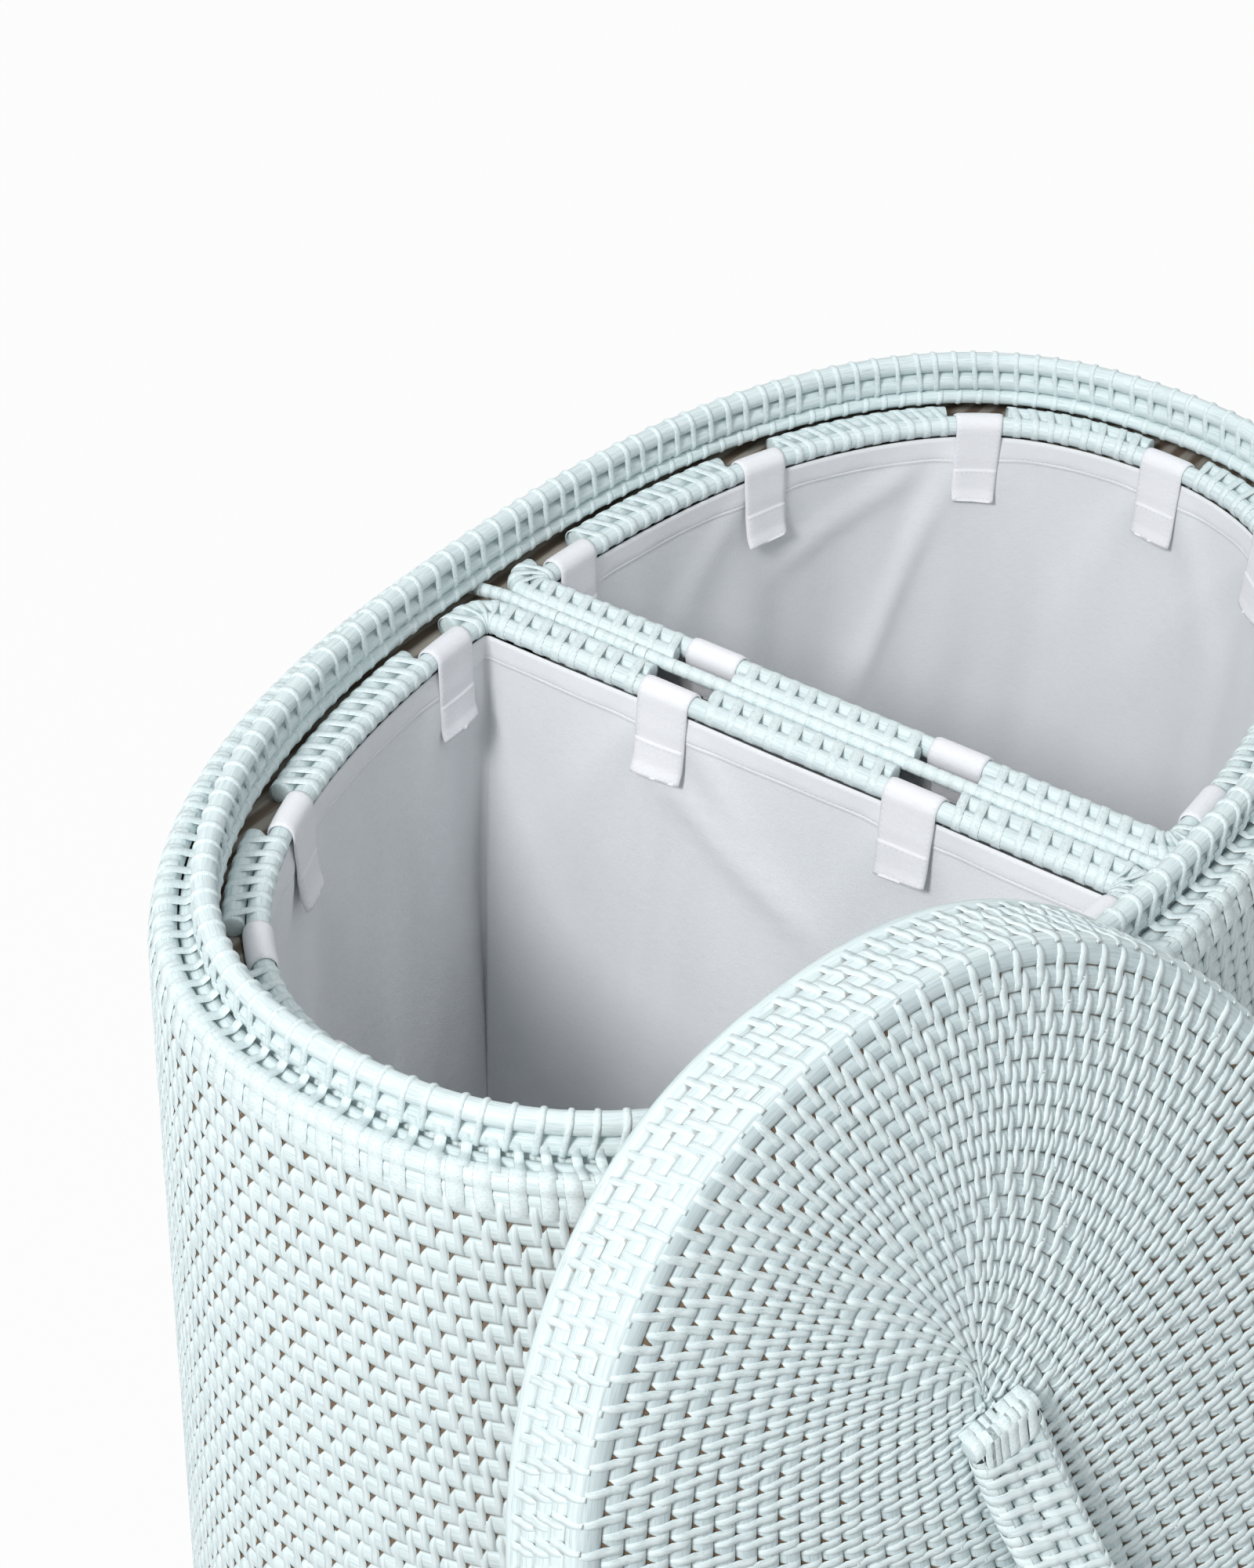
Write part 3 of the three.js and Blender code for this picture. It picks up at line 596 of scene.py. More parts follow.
foot = sweep("foot_coil", BODY, circle(COIL_RADIUS, COIL_RADIUS, COIL_RADIUS, 16), "hamper")
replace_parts(foot, "foot_ring")
LOWER, UPPER = (NECK_INSET, NECK_LOWER), (NECK_INSET, NECK_TOP)
for name, (inset, height), radius in (
    ("shoulder", SHOULDER, COIL_RADIUS), ("recess", RECESS, RECESS_RADIUS), ("ledge", LEDGE, LEDGE_RADIUS),
    ("neck_lower", LOWER, COIL_RADIUS), ("neck_top", UPPER, COIL_RADIUS),
):
    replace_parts(sweep(f"{name}_cane", BODY, circle(inset, height, radius), "hamper"), f"{name}_rod")


# Bands and stitches


def around(plan, path):
    """A surface whose v runs along a closed or open path of (inset, height)."""
    inset, height = np.array(path).T
    share = run_lengths(path)
    share /= share[-1]
    tangent = np.gradient(np.stack([inset, height], 1), share, axis=0)
    tangent /= np.linalg.norm(tangent, axis=1)[:, None]

    def surface(s, v, out):
        i, h, ti, th = [np.interp(v, share, a) for a in (inset, height, *tangent.T)]
        size = np.hypot(ti, th)
        x, y = plan(s, i - out * th / size)
        return np.stack([x, y, h + out * ti / size + 0 * x], -1)

    return surface


def bands(name, plan, path, count, width, body, lean, jitter=0.6 * MM, place=as_is, steps=25,
          start=0.0, end=None, thick=0.5 * MM, section=FLAT, sway=None):
    """Strips of cane that wrap round a path of (inset, height), sway giving the lean's share along it."""
    length = (plan.length if end is None else end) - start
    s = start + (np.arange(count) + 0.5) * length / count + rng.normal(0, jitter, count)
    run = np.linspace(0, 1, steps)
    tilt = lean + rng.normal(0, jitter / 2, count)
    strands(name, around(plan, path), s, s + tilt, 0, 1, width * rng.normal(1, 0.08, count), body, thick,
            (run, np.zeros(steps), np.ones(steps)), section, None if sway is None else sway(run), place)


def arc(centre, radius, start, end, steps=12):
    """Path from outside (0 degrees) over the top (90) to the inside (180)."""
    turn = np.radians(np.linspace(start, end, steps))
    return np.stack([centre[0] - radius * np.cos(turn), centre[1] + radius * np.sin(turn)], 1)


NECK_PATH = np.vstack([arc(LOWER, COIL_RADIUS, -60, 0, 4), arc(UPPER, COIL_RADIUS, 0, 180, 15),
                       arc(LOWER, COIL_RADIUS, 180, 250, 4)])
bands("neck_bands", BODY, NECK_PATH, 150, 3.3 * MM, "hamper", -3.0 * MM, 0.9 * MM, steps=29, thick=0.85 * MM,
      section=DOMED, sway=lambda t: np.interp(t, [0, 0.4, 0.6, 1], [1, 0, 0, 1]))
SHOULDER_PATH = np.vstack([[(CREST, WALL_TOP - 5.6 * MM), (CREST, WALL_TOP - 2.5 * MM),
                            (1.5 * MM, WALL_TOP + 0.6 * MM)], arc(SHOULDER, COIL_RADIUS, -12, 130)])
bands("shoulder_stitches", BODY, SHOULDER_PATH, 158, 6.6 * MM, "hamper", -3.5 * MM, steps=21, thick=0.4 * MM)
RECESS_PATH = np.vstack([arc(SHOULDER, COIL_RADIUS, 70, 112, 4),
                         [(RECESS[0] - 1 * MM, RECESS[1] + RECESS_RADIUS + 0.3 * MM)],
                         arc(LOWER, COIL_RADIUS, -30, 25, 4)])
bands("recess_stitches", BODY, RECESS_PATH, 158, 4.6 * MM, "hamper", -5.0 * MM, steps=17, thick=0.45 * MM)
bands("ledge_stitches", BODY, arc(LEDGE, LEDGE_RADIUS, 20, 230), 156, 4.2 * MM, "hamper", 1.0 * MM,
      steps=11, section=DOMED)


# Divider rod, wrapped from end to end

BOW_RISE, BOW_END, BOW_RUN = 3.6 * MM, 199 * MM, 26 * MM
CANE_RADIUS = DIVIDER_RADIUS - 0.4 * MM
LINE = Plan(np.array([[0, -DIVIDER_HALF], [0, DIVIDER_HALF]]), np.array([[-1.0, 0], [-1.0, 0]]))


def raised(points):
    """The rod stands a little higher between its two ends."""
    share = np.clip((BOW_END - np.abs(points[..., 1:2])) / BOW_RUN, 0, 1)
    return points + np.array([0, 0, BOW_RISE]) * share


divider = sweep("divider_cane", LINE, circle(0, DIVIDER_HEIGHT, CANE_RADIUS), "hamper", columns=80,
                span=(2 * MM, 2 * DIVIDER_HALF - 2 * MM), place=raised)
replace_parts(divider, "divider_rod")
DIVIDER_PATH = arc((0, DIVIDER_HEIGHT), CANE_RADIUS, -90, 270, 17)
# Lengths of the rod with their bands' spacing, all in millimetres
for part, (start, end, gap) in enumerate(((3, 110, 5.4), (110, 300, 7.2), (300, 404, 5.4))):
    bands(f"divider_bands_{part + 1}", LINE, DIVIDER_PATH, int((end - start) / gap), (gap - 0.7) * MM, "hamper",
          1.6 * MM, 0.5 * MM, raised, steps=17, start=start * MM, end=end * MM, thick=0.35 * MM)


# Bins

TABS = 9
RIM = Plan(np.stack(BIN(BIN.marks[:-1], INNER_ROD), 1), np.stack(BIN.normal(BIN.marks[:-1]), 1))
PAIR = np.vstack([arc((OUTER_ROD, FRAME_HEIGHT), COIL_RADIUS, -90, 90, 11),
                  arc((INNER_ROD, FRAME_HEIGHT), COIL_RADIUS, 90, 270, 11)])
PAIR = np.vstack([PAIR, PAIR[:1]])
# A rod whose ends turn by less than this (sine) is straight, and has (width, thickness) of its own
STRAIGHT_TURN, STRAIGHT_BAND, CURVED_BAND = 0.1, (4.8 * MM, 0.22 * MM), (4.3 * MM, 0.45 * MM)


def tab_places(name):
    """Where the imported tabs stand, as lengths along the D's plan."""
    sign = -1 if name == "bin_front" else 1
    found = []
    for k in range(TABS):
        low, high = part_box(f"{name}_tab_{k + 1}")
        found.append(BIN.marks[RIM.nearest(sign * (low[0] + high[0]) / 2, sign * (low[1] + high[1]) / 2)])
    return found


def dress_bin(name, place):
    """Rods, bands, bag and tabs of one bin, built on the rear one's plan and put in place."""
    inner_rod = sweep(f"{name}_inner_cane", BIN, circle(INNER_ROD, FRAME_HEIGHT, COIL_RADIUS), name,
                      columns=320, place=place)
    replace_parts(inner_rod, f"{name}_inner_rod")
    tabs = tab_places(name)
    gaps = sorted((s, k) for k, s in enumerate(tabs))
    for k, (s, index) in enumerate(gaps):
        after = gaps[(k + 1) % TABS][0] + (BIN.length if k == TABS - 1 else 0)
        run = (s + TAB_GAP / 2, after - TAB_GAP / 2)
        steps = max(8, int((run[1] - run[0]) / (4 * MM)))
        rod = sweep(f"{name}_outer_cane_{index + 1}", BIN, circle(OUTER_ROD, FRAME_HEIGHT, COIL_RADIUS),
                    name, columns=steps, span=run, place=place)
        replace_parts(rod, f"{name}_outer_rod_{index + 1}")
        count = int((run[1] - run[0]) / (9.7 * MM))
        nx, ny = BIN.normal(np.array(run))
        straight = abs(nx[0] * ny[1] - nx[1] * ny[0]) < STRAIGHT_TURN
        width, thick = STRAIGHT_BAND if straight else CURVED_BAND
        if count:
            bands(f"{name}_bands_{index + 1}", BIN, PAIR, count, width, name, -5 * MM, 0.5 * MM, place, 33,
                  run[0] + 3 * MM, run[1] + 4 * MM, thick,
                  sway=lambda t: np.clip((t - 0.22) / 0.34, 0, 1))
    liner(name, place, tabs)
    for k, s in enumerate(tabs):
        tab(name, k + 1, s, place)


HEM = 13 * MM
BAG_DEPTH = LINER_TOP - LINER_BOTTOM
SEAMS = [BIN.marks[BIN.nearest(STRAIGHT_SIDE, sign * 160 * MM)] for sign in (-1, 1)]
# Creases that the photograph shows: (tab, along and down from it at the start, the same at the end) in mm
CREASES = {
    "bin_rear": ((4, 50, 24, 100, 48), (4, 31, 51, 58, 123)),
    "bin_front": ((8, 0, 41, 7, 155), (8, -12, 44, -65, 75)),
}
# Waves round the bag: (count, height in mm, slant), and each bin's seed for them
WAVES = ((5, 3.2, 0.9), (9, 2.2, -1.7), (16, 1.3, 2.6), (27, 0.6, -3.1))
BAG_SEEDS = {"bin_rear": 11, "bin_front": 5}
BAG_COLUMNS, BAG_FLOOR_RINGS, BAG_SIDE_ROWS = 420, 14, 60
CREASE_DEPTH, CREASE_WIDTH, SEAM_DEPTH, SEAM_WIDTH = 2.6 * MM, 7 * MM, 0.9 * MM, 0.8 * MM
STITCH_LINE, FLOOR_WAVE, CLOSED = HEM - 1.4 * MM, 3.4 * MM, 0.9996


def soft(x, width):
    return np.exp(-((x / width) ** 2))


def apart(s, at):
    """How far s lies from at along the D, the short way round and with its sign."""
    return np.mod(s - at + BIN.length / 2, BIN.length) - BIN.length / 2


def bag_shape(name, s, drop, tabs):
    """How far the cloth stands inwards of its plain wall, s along the rim and drop below it."""
    local = np.random.default_rng(BAG_SEEDS[name])
    share = drop / BAG_DEPTH
    stand = 0 * s
    for count, size, slant in WAVES:
        phase = local.uniform(0, 2 * np.pi)
        wave = np.sin(s / BIN.length * 2 * np.pi * count + slant * share * 2 + phase)
        stand = stand + wave * size * 1.1 * MM * np.clip(share * 4, 0, 1) ** 0.8
    for at in tabs:
        for way in (-1, 1):
            reach = local.uniform(70, 150) * MM
            line = at + way * (8 * MM + drop * local.uniform(0.25, 0.8))
            fade = np.clip(drop / (20 * MM), 0, 1) * np.exp(-drop / reach)
            stand = stand + local.uniform(1.8, 3.4) * MM * soft(apart(s, line), 8 * MM + drop * 0.12) * fade
    for index, s0, d0, s1, d1 in CREASES[name]:
        way = np.array([s1 - s0, d1 - d0]) * MM
        away = apart(s, tabs[index] + s0 * MM)
        down = drop - d0 * MM
        size = way @ way
        t = (away * way[0] + down * way[1]) / size
        off = (away * way[1] - down * way[0]) / math.sqrt(size)
        ends = soft(np.clip(t, None, 0), 0.25) * soft(np.clip(t - 1, 0, None), 0.4)
        stand = stand + CREASE_DEPTH * soft(off, CREASE_WIDTH) * ends
    hem = 1 / (1 + np.exp(np.clip((drop - HEM) / (0.35 * MM), -60, 60)))
    groove = soft(drop - STITCH_LINE, 0.7 * MM) * (0.75 + 0.25 * np.sin(s * 2 * np.pi / (2.6 * MM)))
    return stand + (0.7 * hem - 0.45 * groove) * MM


def liner(name, place, tabs):
    """Cotton bag that hangs from the inner rod, with a hem, a seam in each corner and soft folds."""
    drops = np.concatenate([np.linspace(0, HEM - 2.6 * MM, 5), HEM + np.linspace(-2, 1.6, 9) * MM,
                            HEM + (BAG_DEPTH - HEM) * np.linspace(0.012, 1, BAG_SIDE_ROWS) ** 1.15])
    s = np.arange(BAG_COLUMNS) / BAG_COLUMNS * BIN.length
    ss, dd = np.meshgrid(s, drops)
    nearest = np.min([np.abs(apart(ss, at)) for at in tabs], 0)
    sag = 0.4 * MM * np.clip((nearest - 14 * MM) / (45 * MM), 0, 1) * np.exp(-dd / (60 * MM))
    inset = LINER_MOUTH + (LINER_FOOT - LINER_MOUTH) * dd / BAG_DEPTH
    inset = inset + bag_shape(name, ss, dd, tabs)
    for mark in SEAMS:
        seam = SEAM_DEPTH * soft(apart(ss, mark), SEAM_WIDTH)
        inset = inset - seam * np.clip((dd - HEM) / (4 * MM), 0, 1)
    cut = CORNER_RADIUS - 0.6 * MM
    x, y = BIN(ss, np.minimum(inset, cut))
    extra = np.maximum(inset - cut, 0)
    middle = (STRAIGHT_SIDE + HALF_LENGTH - FRAME_INSET) / 2
    side = np.clip((STRAIGHT_SIDE + 40 * MM - x) / (20 * MM), 0, 1)
    corner = np.clip((np.abs(y) - 120 * MM) / (30 * MM), 0, 1) * np.sign(y)
    inwards = (1 - side) * extra / np.hypot(x - middle, y)
    x, y = x + side * extra - inwards * (x - middle), y - inwards * y - side * extra * corner
    points = np.stack([x, y, LINER_TOP + 0.5 * MM - dd - sag], -1)
    centre = np.array([middle, 0])
    floor = []
    for share in np.linspace(0, 1, BAG_FLOOR_RINGS + 1)[1:]:
        ring = points[-1].copy()
        ring[:, :2] = centre + (ring[:, :2] - centre) * (1 - share * CLOSED)
        wave = np.sin(9 * share + np.arctan2(ring[:, 1], ring[:, 0] - middle) * 3)
        ring[:, 2] += FLOOR_WAVE * wave * share * (1 - share)
        floor.append(ring)
    points = np.concatenate([points, np.array(floor)])
    faces, uv = grid_faces(len(points), BAG_COLUMNS, False, True)
    along, down = np.meshgrid(s, np.concatenate([drops, BAG_DEPTH + np.arange(BAG_FLOOR_RINGS) * 9 * MM]))
    grain = np.stack([along, down, 0 * along], -1)
    piece = make(f"{name}_bag", place(points), faces, [cotton_look], name, uv, grain,
                 soft(down - STITCH_LINE, 0.6 * MM))
    solid = piece.modifiers.new("cloth", "SOLIDIFY")
    solid.thickness = 0.8 * MM
    solid.offset = 1
    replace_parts(piece, f"{name}_liner")


TAB_COLUMNS, TAB_HALF, TURN_UP = 15, TAB_WIDTH / 2, 17.5 * MM


def tab(name, number, s, place):
    """Tape that rises outside the inner rod, wraps over it and hangs in the bag, with its end turned up."""
    radius = COIL_RADIUS + 0.9 * MM
    mouth, top = LINER_MOUTH, FRAME_HEIGHT
    local = np.random.default_rng(number * 7 + len(name))
    lift = local.uniform(1.5, 4.5) * MM
    outer_leg = [(mouth - 2.0 * MM, top - 24 * MM), (mouth - 2.2 * MM, top - 15 * MM),
                 (INNER_ROD - radius * 0.8, top - 7 * MM)]
    over = arc((INNER_ROD, top), radius, -12, 186, 18)
    inner_leg = [(INNER_ROD + radius + 0.4 * MM, top - 8 * MM), (mouth + 4.4 * MM, top - 15 * MM),
                 (mouth + 4.6 * MM, top - 24 * MM), (mouth + 4.2 * MM + lift * 0.4, top - 33 * MM),
                 (mouth + 4.2 * MM + lift, top - 39 * MM)]
    path = np.vstack([outer_leg, over, inner_leg])
    steps = run_lengths(path)
    length = steps[-1]
    hem = length - TURN_UP
    even = np.sort(np.concatenate([np.linspace(0, length, 56), hem + np.array([-0.5, 0.1]) * MM]))
    inset, height = np.interp(even, steps, path[:, 0]), np.interp(even, steps, path[:, 1])
    slope = np.gradient(np.stack([inset, height], 1), even, axis=0)
    slope /= np.linalg.norm(slope, axis=1)[:, None]
    u = np.linspace(-1, 1, TAB_COLUMNS)
    hang = np.clip((even - length * 0.5) / (length * 0.5), 0, 1)[:, None]
    skew = local.normal(0, 1.6 * MM) * hang
    swing = local.normal(0, 0.05) * hang**2
    curl = 0.9 * MM * hang**2 * np.sin(u * 2 + local.uniform(0, 6))
    puff = (0.5 * np.cos(u * 1.5) - 0.25) * MM * hang + curl
    thick = np.where(even[:, None] > hem, 1.9, 1.1) * MM * (1 - 0.35 * (np.abs(u) > 0.97))
    along = s + u * TAB_HALF * (1 - 0.03 * hang) + skew
    sheet = []
    for face in (1, -1):
        out = puff + (thick - 0.5 * MM if face > 0 else -0.5 * MM)
        h = height[:, None] + out * slope[:, :1] - swing * u * TAB_WIDTH
        x, y = BIN(along, inset[:, None] - out * slope[:, 1:])
        sheet.append(np.stack([x, y, h], -1))
    ring = np.concatenate([sheet[0], sheet[1][:, ::-1]], 1)
    closing = [np.broadcast_to(ring[k, TAB_COLUMNS // 2], ring[:1].shape) for k in (0, -1)]
    ring = np.concatenate([closing[0], ring, closing[1]])
    faces, uv = grid_faces(len(ring), 2 * TAB_COLUMNS, False, True)
    across, down = np.meshgrid(np.concatenate([u, u[::-1]]) * TAB_HALF,
                               np.concatenate([even[:1], even, even[-1:]]) - length)
    grain = np.stack([across, down, 0 * across], -1)
    piece = make(f"{name}_strap_{number}", place(ring), faces, [tape_look], name, uv, grain, 0 * across)
    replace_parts(piece, f"{name}_tab_{number}")


dress_bin("bin_rear", as_is)
dress_bin("bin_front", turned)


# Lid

EDGE_PLAN = oval_plan(PANEL_INSET)
LID_ROWS, LID_COLUMNS, LID_THICKNESS = 21, 300, 8 * MM
CENTRE_SHARE, GRAIN_REACH = 0.001, 0.211


def on_panel(s, share, out):
    """Over the lid's crown: s round its edge, share from the straight core (0) to the edge (1)."""
    x, y = EDGE_PLAN(s)
    half = HALF_LENGTH - PANEL_INSET
    reach = (CORE_HALF + (half - CORE_HALF) * share) / half
    return np.stack([x * reach, y * share, LID_CROWN * (1 - share**2) + out + 0 * x], -1)


def lid_panel():
    """Painted coils over the crown and plain ones under it, closed at the core and at the edge."""
    steps = np.repeat(np.arange(LID_ROWS, 0, -1), len(ROUND)) - np.tile(ROUND, LID_ROWS)
    sink = np.tile(sunk(ROUND), LID_ROWS)
    under = np.arange(LID_ROWS * 2 + 1)
    share = np.concatenate([steps / LID_ROWS, [CENTRE_SHARE], np.maximum(under / LID_ROWS / 2, CENTRE_SHARE)])
    out = np.concatenate([-CREST - sink * DEPTH, [-3 * MM], under % 2 * 1.6 * MM - LID_THICKNESS])
    deep = np.concatenate([sink, [1], 1 - under % 2])
    s = np.arange(LID_COLUMNS) / LID_COLUMNS * EDGE_PLAN.length
    ss, vv = np.meshgrid(s, share)
    faces, uv = grid_faces(len(share), LID_COLUMNS, True, True)
    grain = np.stack([ss, vv * GRAIN_REACH, 0 * ss], -1)
    looks = np.repeat([0, 1], [len(sink) + 1, len(under)])
    return make("lid_coils", in_lid(on_panel(ss, vv, out[:, None])), faces, [lid_shaded_look, inside_look], "lid", uv,
                grain, np.repeat(deep, LID_COLUMNS), np.repeat(looks, LID_COLUMNS))


def across_coils(s, share):
    """How far s changes with share along a line square to the lid's coils, and the coil's length per s."""
    step = 0.5 * MM
    along = (on_panel(s + step, share, 0) - on_panel(s - step, share, 0)) / (2 * step)
    inwards = (on_panel(s, share + 0.002, 0) - on_panel(s, share - 0.002, 0)) / 0.004
    metric = np.maximum(np.linalg.norm(along[..., :2], axis=-1), 0.15)
    return -(along[..., :2] * inwards[..., :2]).sum(-1) / metric**2, metric


LID_STITCHES, CROWDED, SPARSE = 158, 6.2 * MM, 13 * MM


def next_stations(s, share):
    """The station after each one round a row of the lid, and how far off it is."""
    after = np.append(s[1:], s[0] + EDGE_PLAN.length)
    return after, np.linalg.norm(on_panel(after, share, 0) - on_panel(s, share, 0), axis=1)


def lid_stitches():
    """Stations of the strands on each row of the lid, carried inwards, thinned or filled as they go."""
    length = EDGE_PLAN.length
    s = np.arange(LID_STITCHES) / LID_STITCHES * length
    rows = []
    for k in range(LID_ROWS, 0, -1):
        share = k / LID_ROWS
        s = np.sort(np.mod(s, length))
        gap = next_stations(s, share)[1]
        keep = np.ones(len(s), bool)
        for j in range(len(s)):
            if keep[j] and gap[j] < CROWDED:
                keep[(j + 1) % len(s)] = False
                gap[j] += gap[(j + 1) % len(s)]
        s = s[keep]
        after, gap = next_stations(s, share)
        s = np.sort(np.mod(np.concatenate([s, (s + after)[gap > SPARSE] / 2]), length))
        gap = next_stations(s, share)[1]
        slope, metric = across_coils(s, share)
        rows.append((k, s, np.clip(gap * 0.34, 2.4 * MM, STITCH_WIDTH) / metric, metric, slope))
        s = s - slope / LID_ROWS - STITCH_SHIFT / metric
    return rows


def panel_from(at, way):
    """The lid's surface with s counted from at, onwards (1) or back (-1)."""
    at = at[:, None, None]
    return lambda s, v, out: on_panel(at + way * (s - at), v, out)


def lid_strands():
    """Strands square to the coils, leaning more on the long sides, with a wedge beside each lower half."""
    rows = []
    for k, s, width, metric, slope in lid_stitches():
        last = max(k - 2, 0.02)
        middle = s - slope * (k - last) / 2 / LID_ROWS
        late = across_coils(middle, (k + last) / 2 / LID_ROWS)[0]
        end = s - late * (k - last) / LID_ROWS
        rows.append(np.broadcast_arrays(s, end, k / LID_ROWS, last / LID_ROWS, width, metric))
    s0, s1, v0, v1, wide, scale = np.concatenate(rows, axis=1)
    shift = rng.normal(0, 0.4 * MM, s0.size) / scale
    along_y = EDGE_PLAN.normal(s0)[1]
    side = np.clip((np.abs(along_y) - 0.86) / 0.12, 0, 1)
    lean = -2.6 + side * np.where(along_y > 0, 8.6, 5.8)
    s0, s1 = s0 + shift, s1 + shift + (lean * MM + rng.normal(0, 0.5 * MM, s0.size)) / scale
    wide = wide * (1 + 0.12 * side)
    strands("lid_strands", on_panel, s0, s1, v0, v1, wide, "lid", place=in_lid)
    near = (along_y < 0) & (side > 0.5)
    for number, way in ((1, -1), (2, 1)):
        chosen = (v0 > 2.5 / LID_ROWS) & (near == (way > 0))
        beside = ((s0 + s1) / 2 + way * wide / 2)[chosen]
        wedges(f"lid_shade_{number}", panel_from(beside, way), beside, (v0 - 1 / LID_ROWS)[chosen],
               way * WEDGE_FALL / LID_ROWS, "lid", in_lid)


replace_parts(lid_panel(), "lid_panel")
lid_strands()

SKIRT_ROWS = 4
SKIRT_PITCH = (SKIRT_TOP - SKIRT_BOTTOM) / SKIRT_ROWS
skirt = coiled_wall("lid_skirt_coils", SKIRT_ROWS, SKIRT_BOTTOM, SKIRT_PITCH, "lid", 240, in_lid)
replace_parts(skirt, "lid_skirt")
row_strands("lid_skirt_strands", SKIRT_ROWS, 0, SKIRT_BOTTOM, SKIRT_BOTTOM - 6 * MM, SKIRT_PITCH, "lid",
            in_lid, shade=0.74)
edge = sweep("lid_edge_coil", BODY, circle(COIL_RADIUS, LID_EDGE_Z, COIL_RADIUS, 16), "lid", place=in_lid)
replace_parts(edge, "lid_edge_rod")


# Handle: four rods side by side, woven across and tied down at both ends

RODS, ROD_STEP, ROD_RADIUS = 4, 8.7 * MM, 4.2 * MM
ROD_SIDES, ROD_COLUMNS = 12, 80
WEAVE_STEP, WRAP_STEP = 8.4 * MM, 5.2 * MM
WEAVE = (np.array([0, 0.04, 0.16, 0.34, 0.5, 0.66, 0.84, 0.96, 1]),
         np.array([-3.6, -1.2, 0.6, 0.9, 0.35, 0.9, 0.6, -1.2, -3.6]) * MM, np.ones(9))
BAR_RADIUS, BAR_HALF = 4.6 * MM, 17.4 * MM
HANDLE_SPAN = HANDLE_BAR_X - 5.3 * MM
ARCH = np.linspace(0, 1, 200)
ARCH_X = HANDLE_SPAN * (2 * ARCH - 1)
ARCH_Z = HANDLE_Z + HANDLE_RISE * np.sin(np.pi * ARCH) ** 2


def on_strap(s, y, out):
    """Over the handle's rods: s along the arch from the lower end, y across it."""
    x = s - HANDLE_SPAN
    z = np.interp(x, ARCH_X, ARCH_Z)
    slope = np.interp(x, ARCH_X, np.gradient(ARCH_Z, ARCH_X))
    size = np.hypot(1, slope)
    return np.stack([x - out * slope / size, y + 0 * x, z + out / size], -1)


def round_rod(way):
    """Round the handle's outermost rod on one side: s along it, v the turn in radians."""
    middle = way * (RODS - 1) / 2 * ROD_STEP

    def surface(s, v, out):
        return on_strap(s, middle - way * (ROD_RADIUS + out) * np.cos(v), (ROD_RADIUS + out) * np.sin(v))

    return surface


def handle_rods():
    k, turn, s = np.meshgrid(np.arange(RODS), np.arange(ROD_SIDES) / ROD_SIDES * 2 * np.pi,
                             np.linspace(0, 2 * HANDLE_SPAN, ROD_COLUMNS), indexing="ij")
    points = on_strap(s, (k - 1.5) * ROD_STEP + ROD_RADIUS * np.cos(turn), ROD_RADIUS * np.sin(turn))
    quads, uv = grid_faces(ROD_SIDES, ROD_COLUMNS, True, False)
    maps = np.concatenate([(uv + [0, rod]) / [1, RODS] for rod in range(RODS)])
    rods = make("handle_canes", in_lid(points), copied(quads, RODS, ROD_SIDES * ROD_COLUMNS), [coil_look],
                "lid", maps, np.stack([s, turn * 4 * MM, k + 0 * s], -1), 0 * s)
    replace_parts(rods, *(f"handle_rod_{k + 1}" for k in range(RODS)))


def handle_weave():
    """Strands over pairs of rods, in three staggered rows, and wraps round the outermost rods."""
    count = int(2 * HANDLE_SPAN / WEAVE_STEP)
    for k in range(3):
        at = (np.arange(count) + 0.5) * WEAVE_STEP + (k - 1) * 2.8 * MM + rng.normal(0, 0.7 * MM, count)
        low = (k - 2) * ROD_STEP
        strands(f"handle_strands_{k + 1}", on_strap, at - 3.4 * MM, at + 3.4 * MM, low, low + 2 * ROD_STEP,
                4.3 * MM * rng.normal(1, 0.1, count), "lid", ROD_RADIUS + 0.2 * MM * (k - 1), WEAVE,
                place=in_lid)
    # The wraps keep half of the flat section's painted shadow line along one edge
    edge, drop, rim = FLAT
    for way, side in ((-1, "lower"), (1, "upper")):
        turns = int(2 * HANDLE_SPAN / WRAP_STEP)
        at = (np.arange(turns) + 0.5) * WRAP_STEP + rng.normal(0, 0.5 * MM, turns)
        strands(f"handle_wraps_{side}", round_rod(way), at, at + 3.2 * MM, np.pi * 0.55, np.pi * 1.3,
                4.4 * MM * rng.normal(1, 0.1, turns), "lid", 0.6 * MM + rng.normal(0, 0.12 * MM, turns),
                (np.linspace(0, 1, 13), np.zeros(13), np.ones(13)), (edge, drop, rim * 0.5), place=in_lid)


# Path of a tie over the upper end bar, x outwards from it and z
TIE = np.array([(-5.4, 7.0), (-5.0, 12.3), (-3.2, 16.0), (-0.4, 17.2), (3.0, 17.0), (6.5, 17.0), (10.0, 17.2),
                (13.0, 16.4), (14.5, 13.5)]) * MM


def handle_end(side, node):
    """End bar with its wraps, and the ties that hold the rods down over it."""
    x = side * HANDLE_BAR_X
    plan = Plan(np.array([[x, -BAR_HALF], [x, BAR_HALF]]), np.array([[1.0, 0], [1.0, 0]]))
    bar = sweep(f"{node}_cane", plan, circle(0, HANDLE_Z, BAR_RADIUS), "lid", columns=12,
                span=(0.5 * MM, 2 * BAR_HALF - 0.5 * MM), place=in_lid)
    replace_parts(bar, node)
    bands(f"{node}_wraps", plan, arc((0, HANDLE_Z), BAR_RADIUS, -90, 270, 17), 7, 4.9 * MM, "lid", 2 * MM,
          0.5 * MM, in_lid, 17, 1 * MM, 33 * MM, 0.3 * MM)
    bands(f"{node}_ties", plan, (TIE * [side, 1])[::side], 7, 4.7 * MM, "lid", 6 * MM * side, 1.1 * MM,
          in_lid, 21, 1 * MM, 34 * MM, 0.1 * MM)


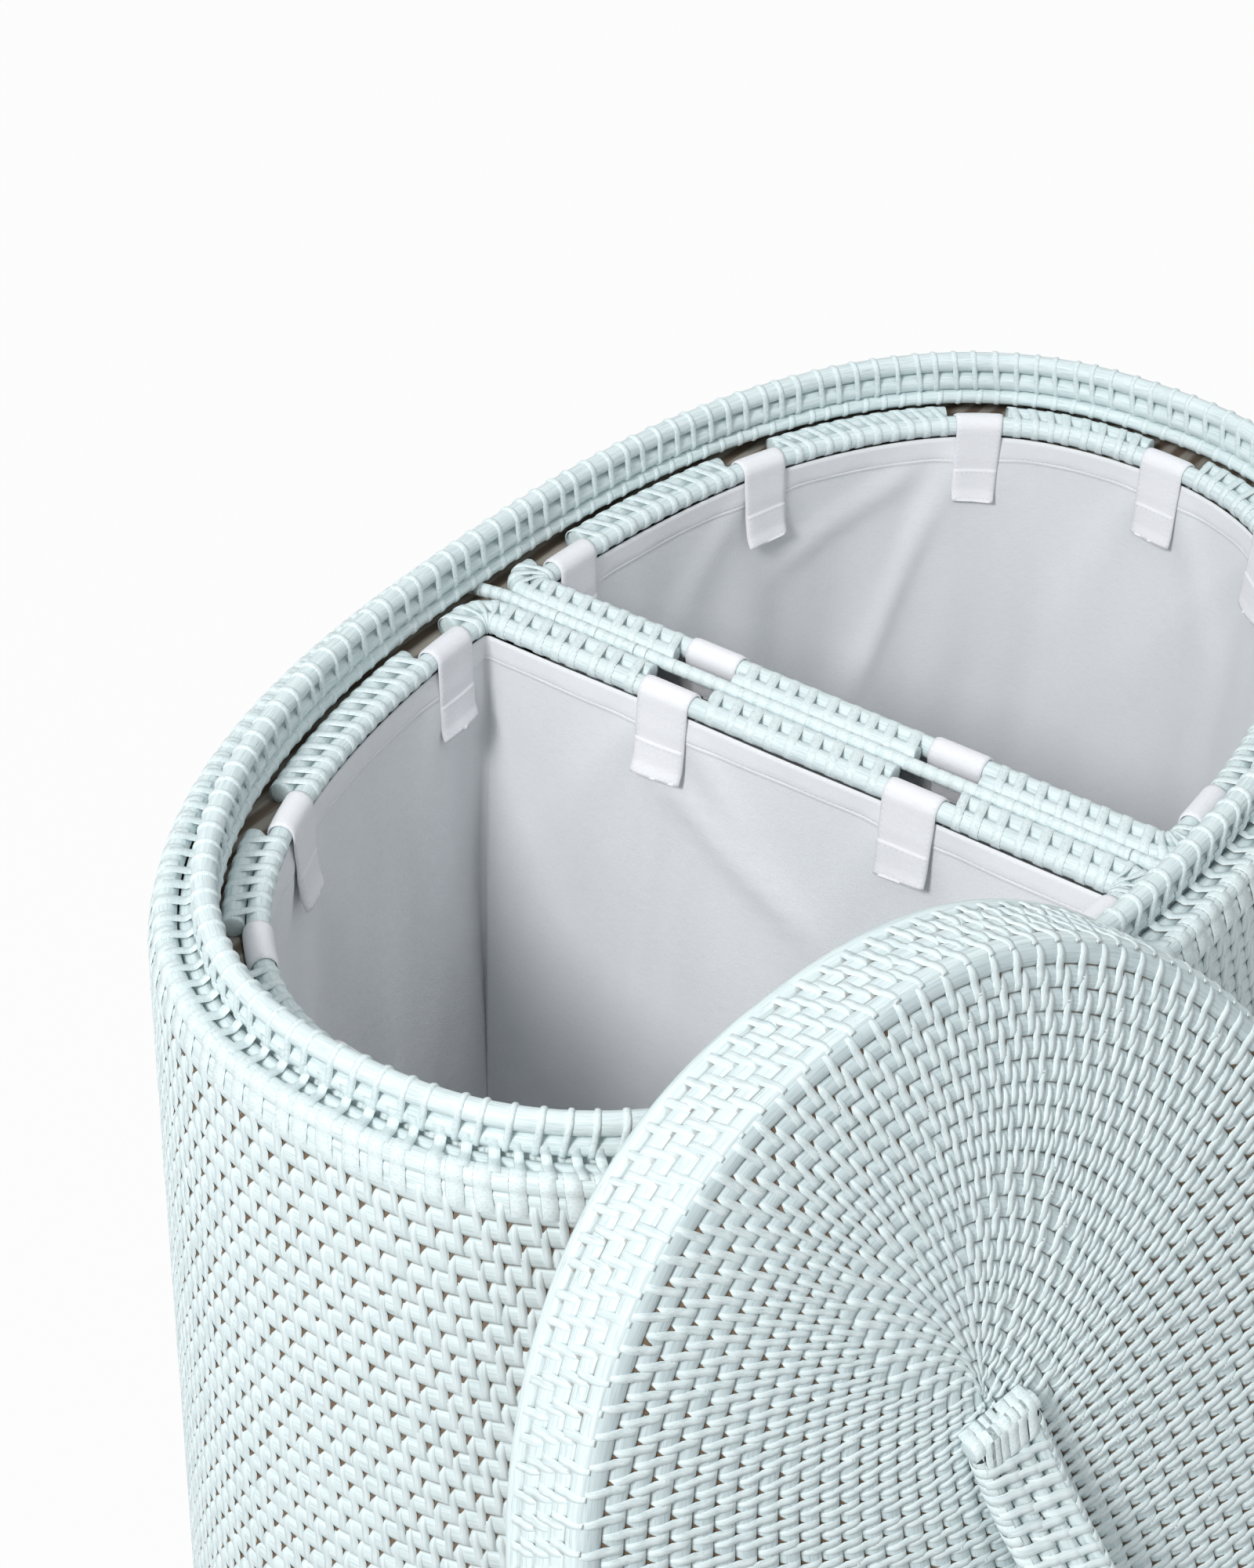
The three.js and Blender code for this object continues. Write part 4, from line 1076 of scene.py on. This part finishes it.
handle_rods()
handle_weave()
handle_end(1, "handle_bar_upper")
handle_end(-1, "handle_bar_lower")


# Stage, light and camera

FLOOR_HALF = 9


def sees_white(g):
    """1 for the rays that meet the white background: camera, glossy and transmission rays."""
    ray = g.add("ShaderNodeLightPath")
    seen = g.math("MAXIMUM", ray.outputs["Is Camera Ray"], ray.outputs["Is Glossy Ray"])
    return g.math("MAXIMUM", seen, ray.outputs["Is Transmission Ray"])


def stage_floor():
    """White to the camera, apart from a little of the shadow, and mid grey to everything else."""
    mesh = bpy.data.meshes.new("studio_floor")
    corners = [(x * FLOOR_HALF, y * FLOOR_HALF, 0) for x, y in ((-1, -1), (1, -1), (1, 1), (-1, 1))]
    mesh.from_pydata(corners, [], [(0, 1, 2, 3)])
    g = material_graph("studio_floor")
    tint = g.mix(g.noise(g.place(), 0.6), (0.5, 0.5, 0.5, 1), (0.52, 0.52, 0.52, 1))
    matte = g.add("ShaderNodeBsdfDiffuse", ("Color", tint)).outputs[0]
    white = g.add("ShaderNodeEmission", ("Color", WHITE), ("Strength", 1.0)).outputs[0]
    share = g.times(sees_white(g), 0.96)
    mixed = g.add("ShaderNodeMixShader", (0, share), (1, matte), (2, white)).outputs[0]
    g.add("ShaderNodeOutputMaterial", ("Surface", mixed))
    mesh.materials.append(g.owner)
    floor = linked("studio_floor", mesh)


def key_lamp():
    """A round soft lamp above and to the left of the camera, aimed at the hamper."""
    light = bpy.data.lights.new("key", "AREA")
    light.shape = "DISK"
    light.size, light.energy = 0.9, 89
    piece = linked("key", light)
    place, aim = Vector((-2.9, -0.1, 2.9)), Vector((-0.2, 0, 0.5))
    piece.location = place
    piece.rotation_euler = (aim - place).to_track_quat("-Z", "Y").to_euler()


def sky():
    """White to the camera, and a soft light that is stronger from above to everything else."""
    world = bpy.data.worlds.new("studio")
    bpy.context.scene.world = world
    g = Graph(world)
    white = g.add("ShaderNodeBackground", ("Color", WHITE), ("Strength", 1.0)).outputs[0]
    way = g.add("ShaderNodeSeparateXYZ", (0, g.add("ShaderNodeTexCoord").outputs["Generated"]))
    strength = g.add("ShaderNodeMapRange", ("Value", way.outputs["Z"]), ("To Min", 0.44), ("To Max", 0.75))
    dim = g.add("ShaderNodeBackground", ("Color", (0.95, 0.98, 1.0, 1)), ("Strength", strength.outputs[0]))
    mixed = g.add("ShaderNodeMixShader", (0, sees_white(g)), (1, dim.outputs[0]), (2, white)).outputs[0]
    g.add("ShaderNodeOutputWorld", (0, mixed))


def camera():
    """Stands where the photograph was taken from, as fitted to the hamper in it."""
    place, lens = (-1.0593, -0.6263, 1.4348), 77.24
    heading, pitch, roll = 0.9701, 0.6261, -0.0315
    level = math.cos(pitch)
    forward = np.array([math.sin(heading) * level, math.cos(heading) * level, -math.sin(pitch)])
    right = np.array([math.cos(heading), -math.sin(heading), 0.0])
    down = np.cross(forward, right)
    across = math.cos(roll) * right + math.sin(roll) * down
    fall = -math.sin(roll) * right + math.cos(roll) * down
    data = bpy.data.cameras.new("camera")
    data.lens = lens
    data.sensor_width = 36
    data.clip_end = 50
    piece = linked("camera", data)
    rows = [[across[k], -fall[k], -forward[k], place[k]] for k in range(3)]
    piece.matrix_world = Matrix([*rows, [0, 0, 0, 1]])
    bpy.context.scene.camera = piece


stage_floor()
sky()
key_lamp()
camera()
bpy.context.scene.view_settings.view_transform = "Standard"
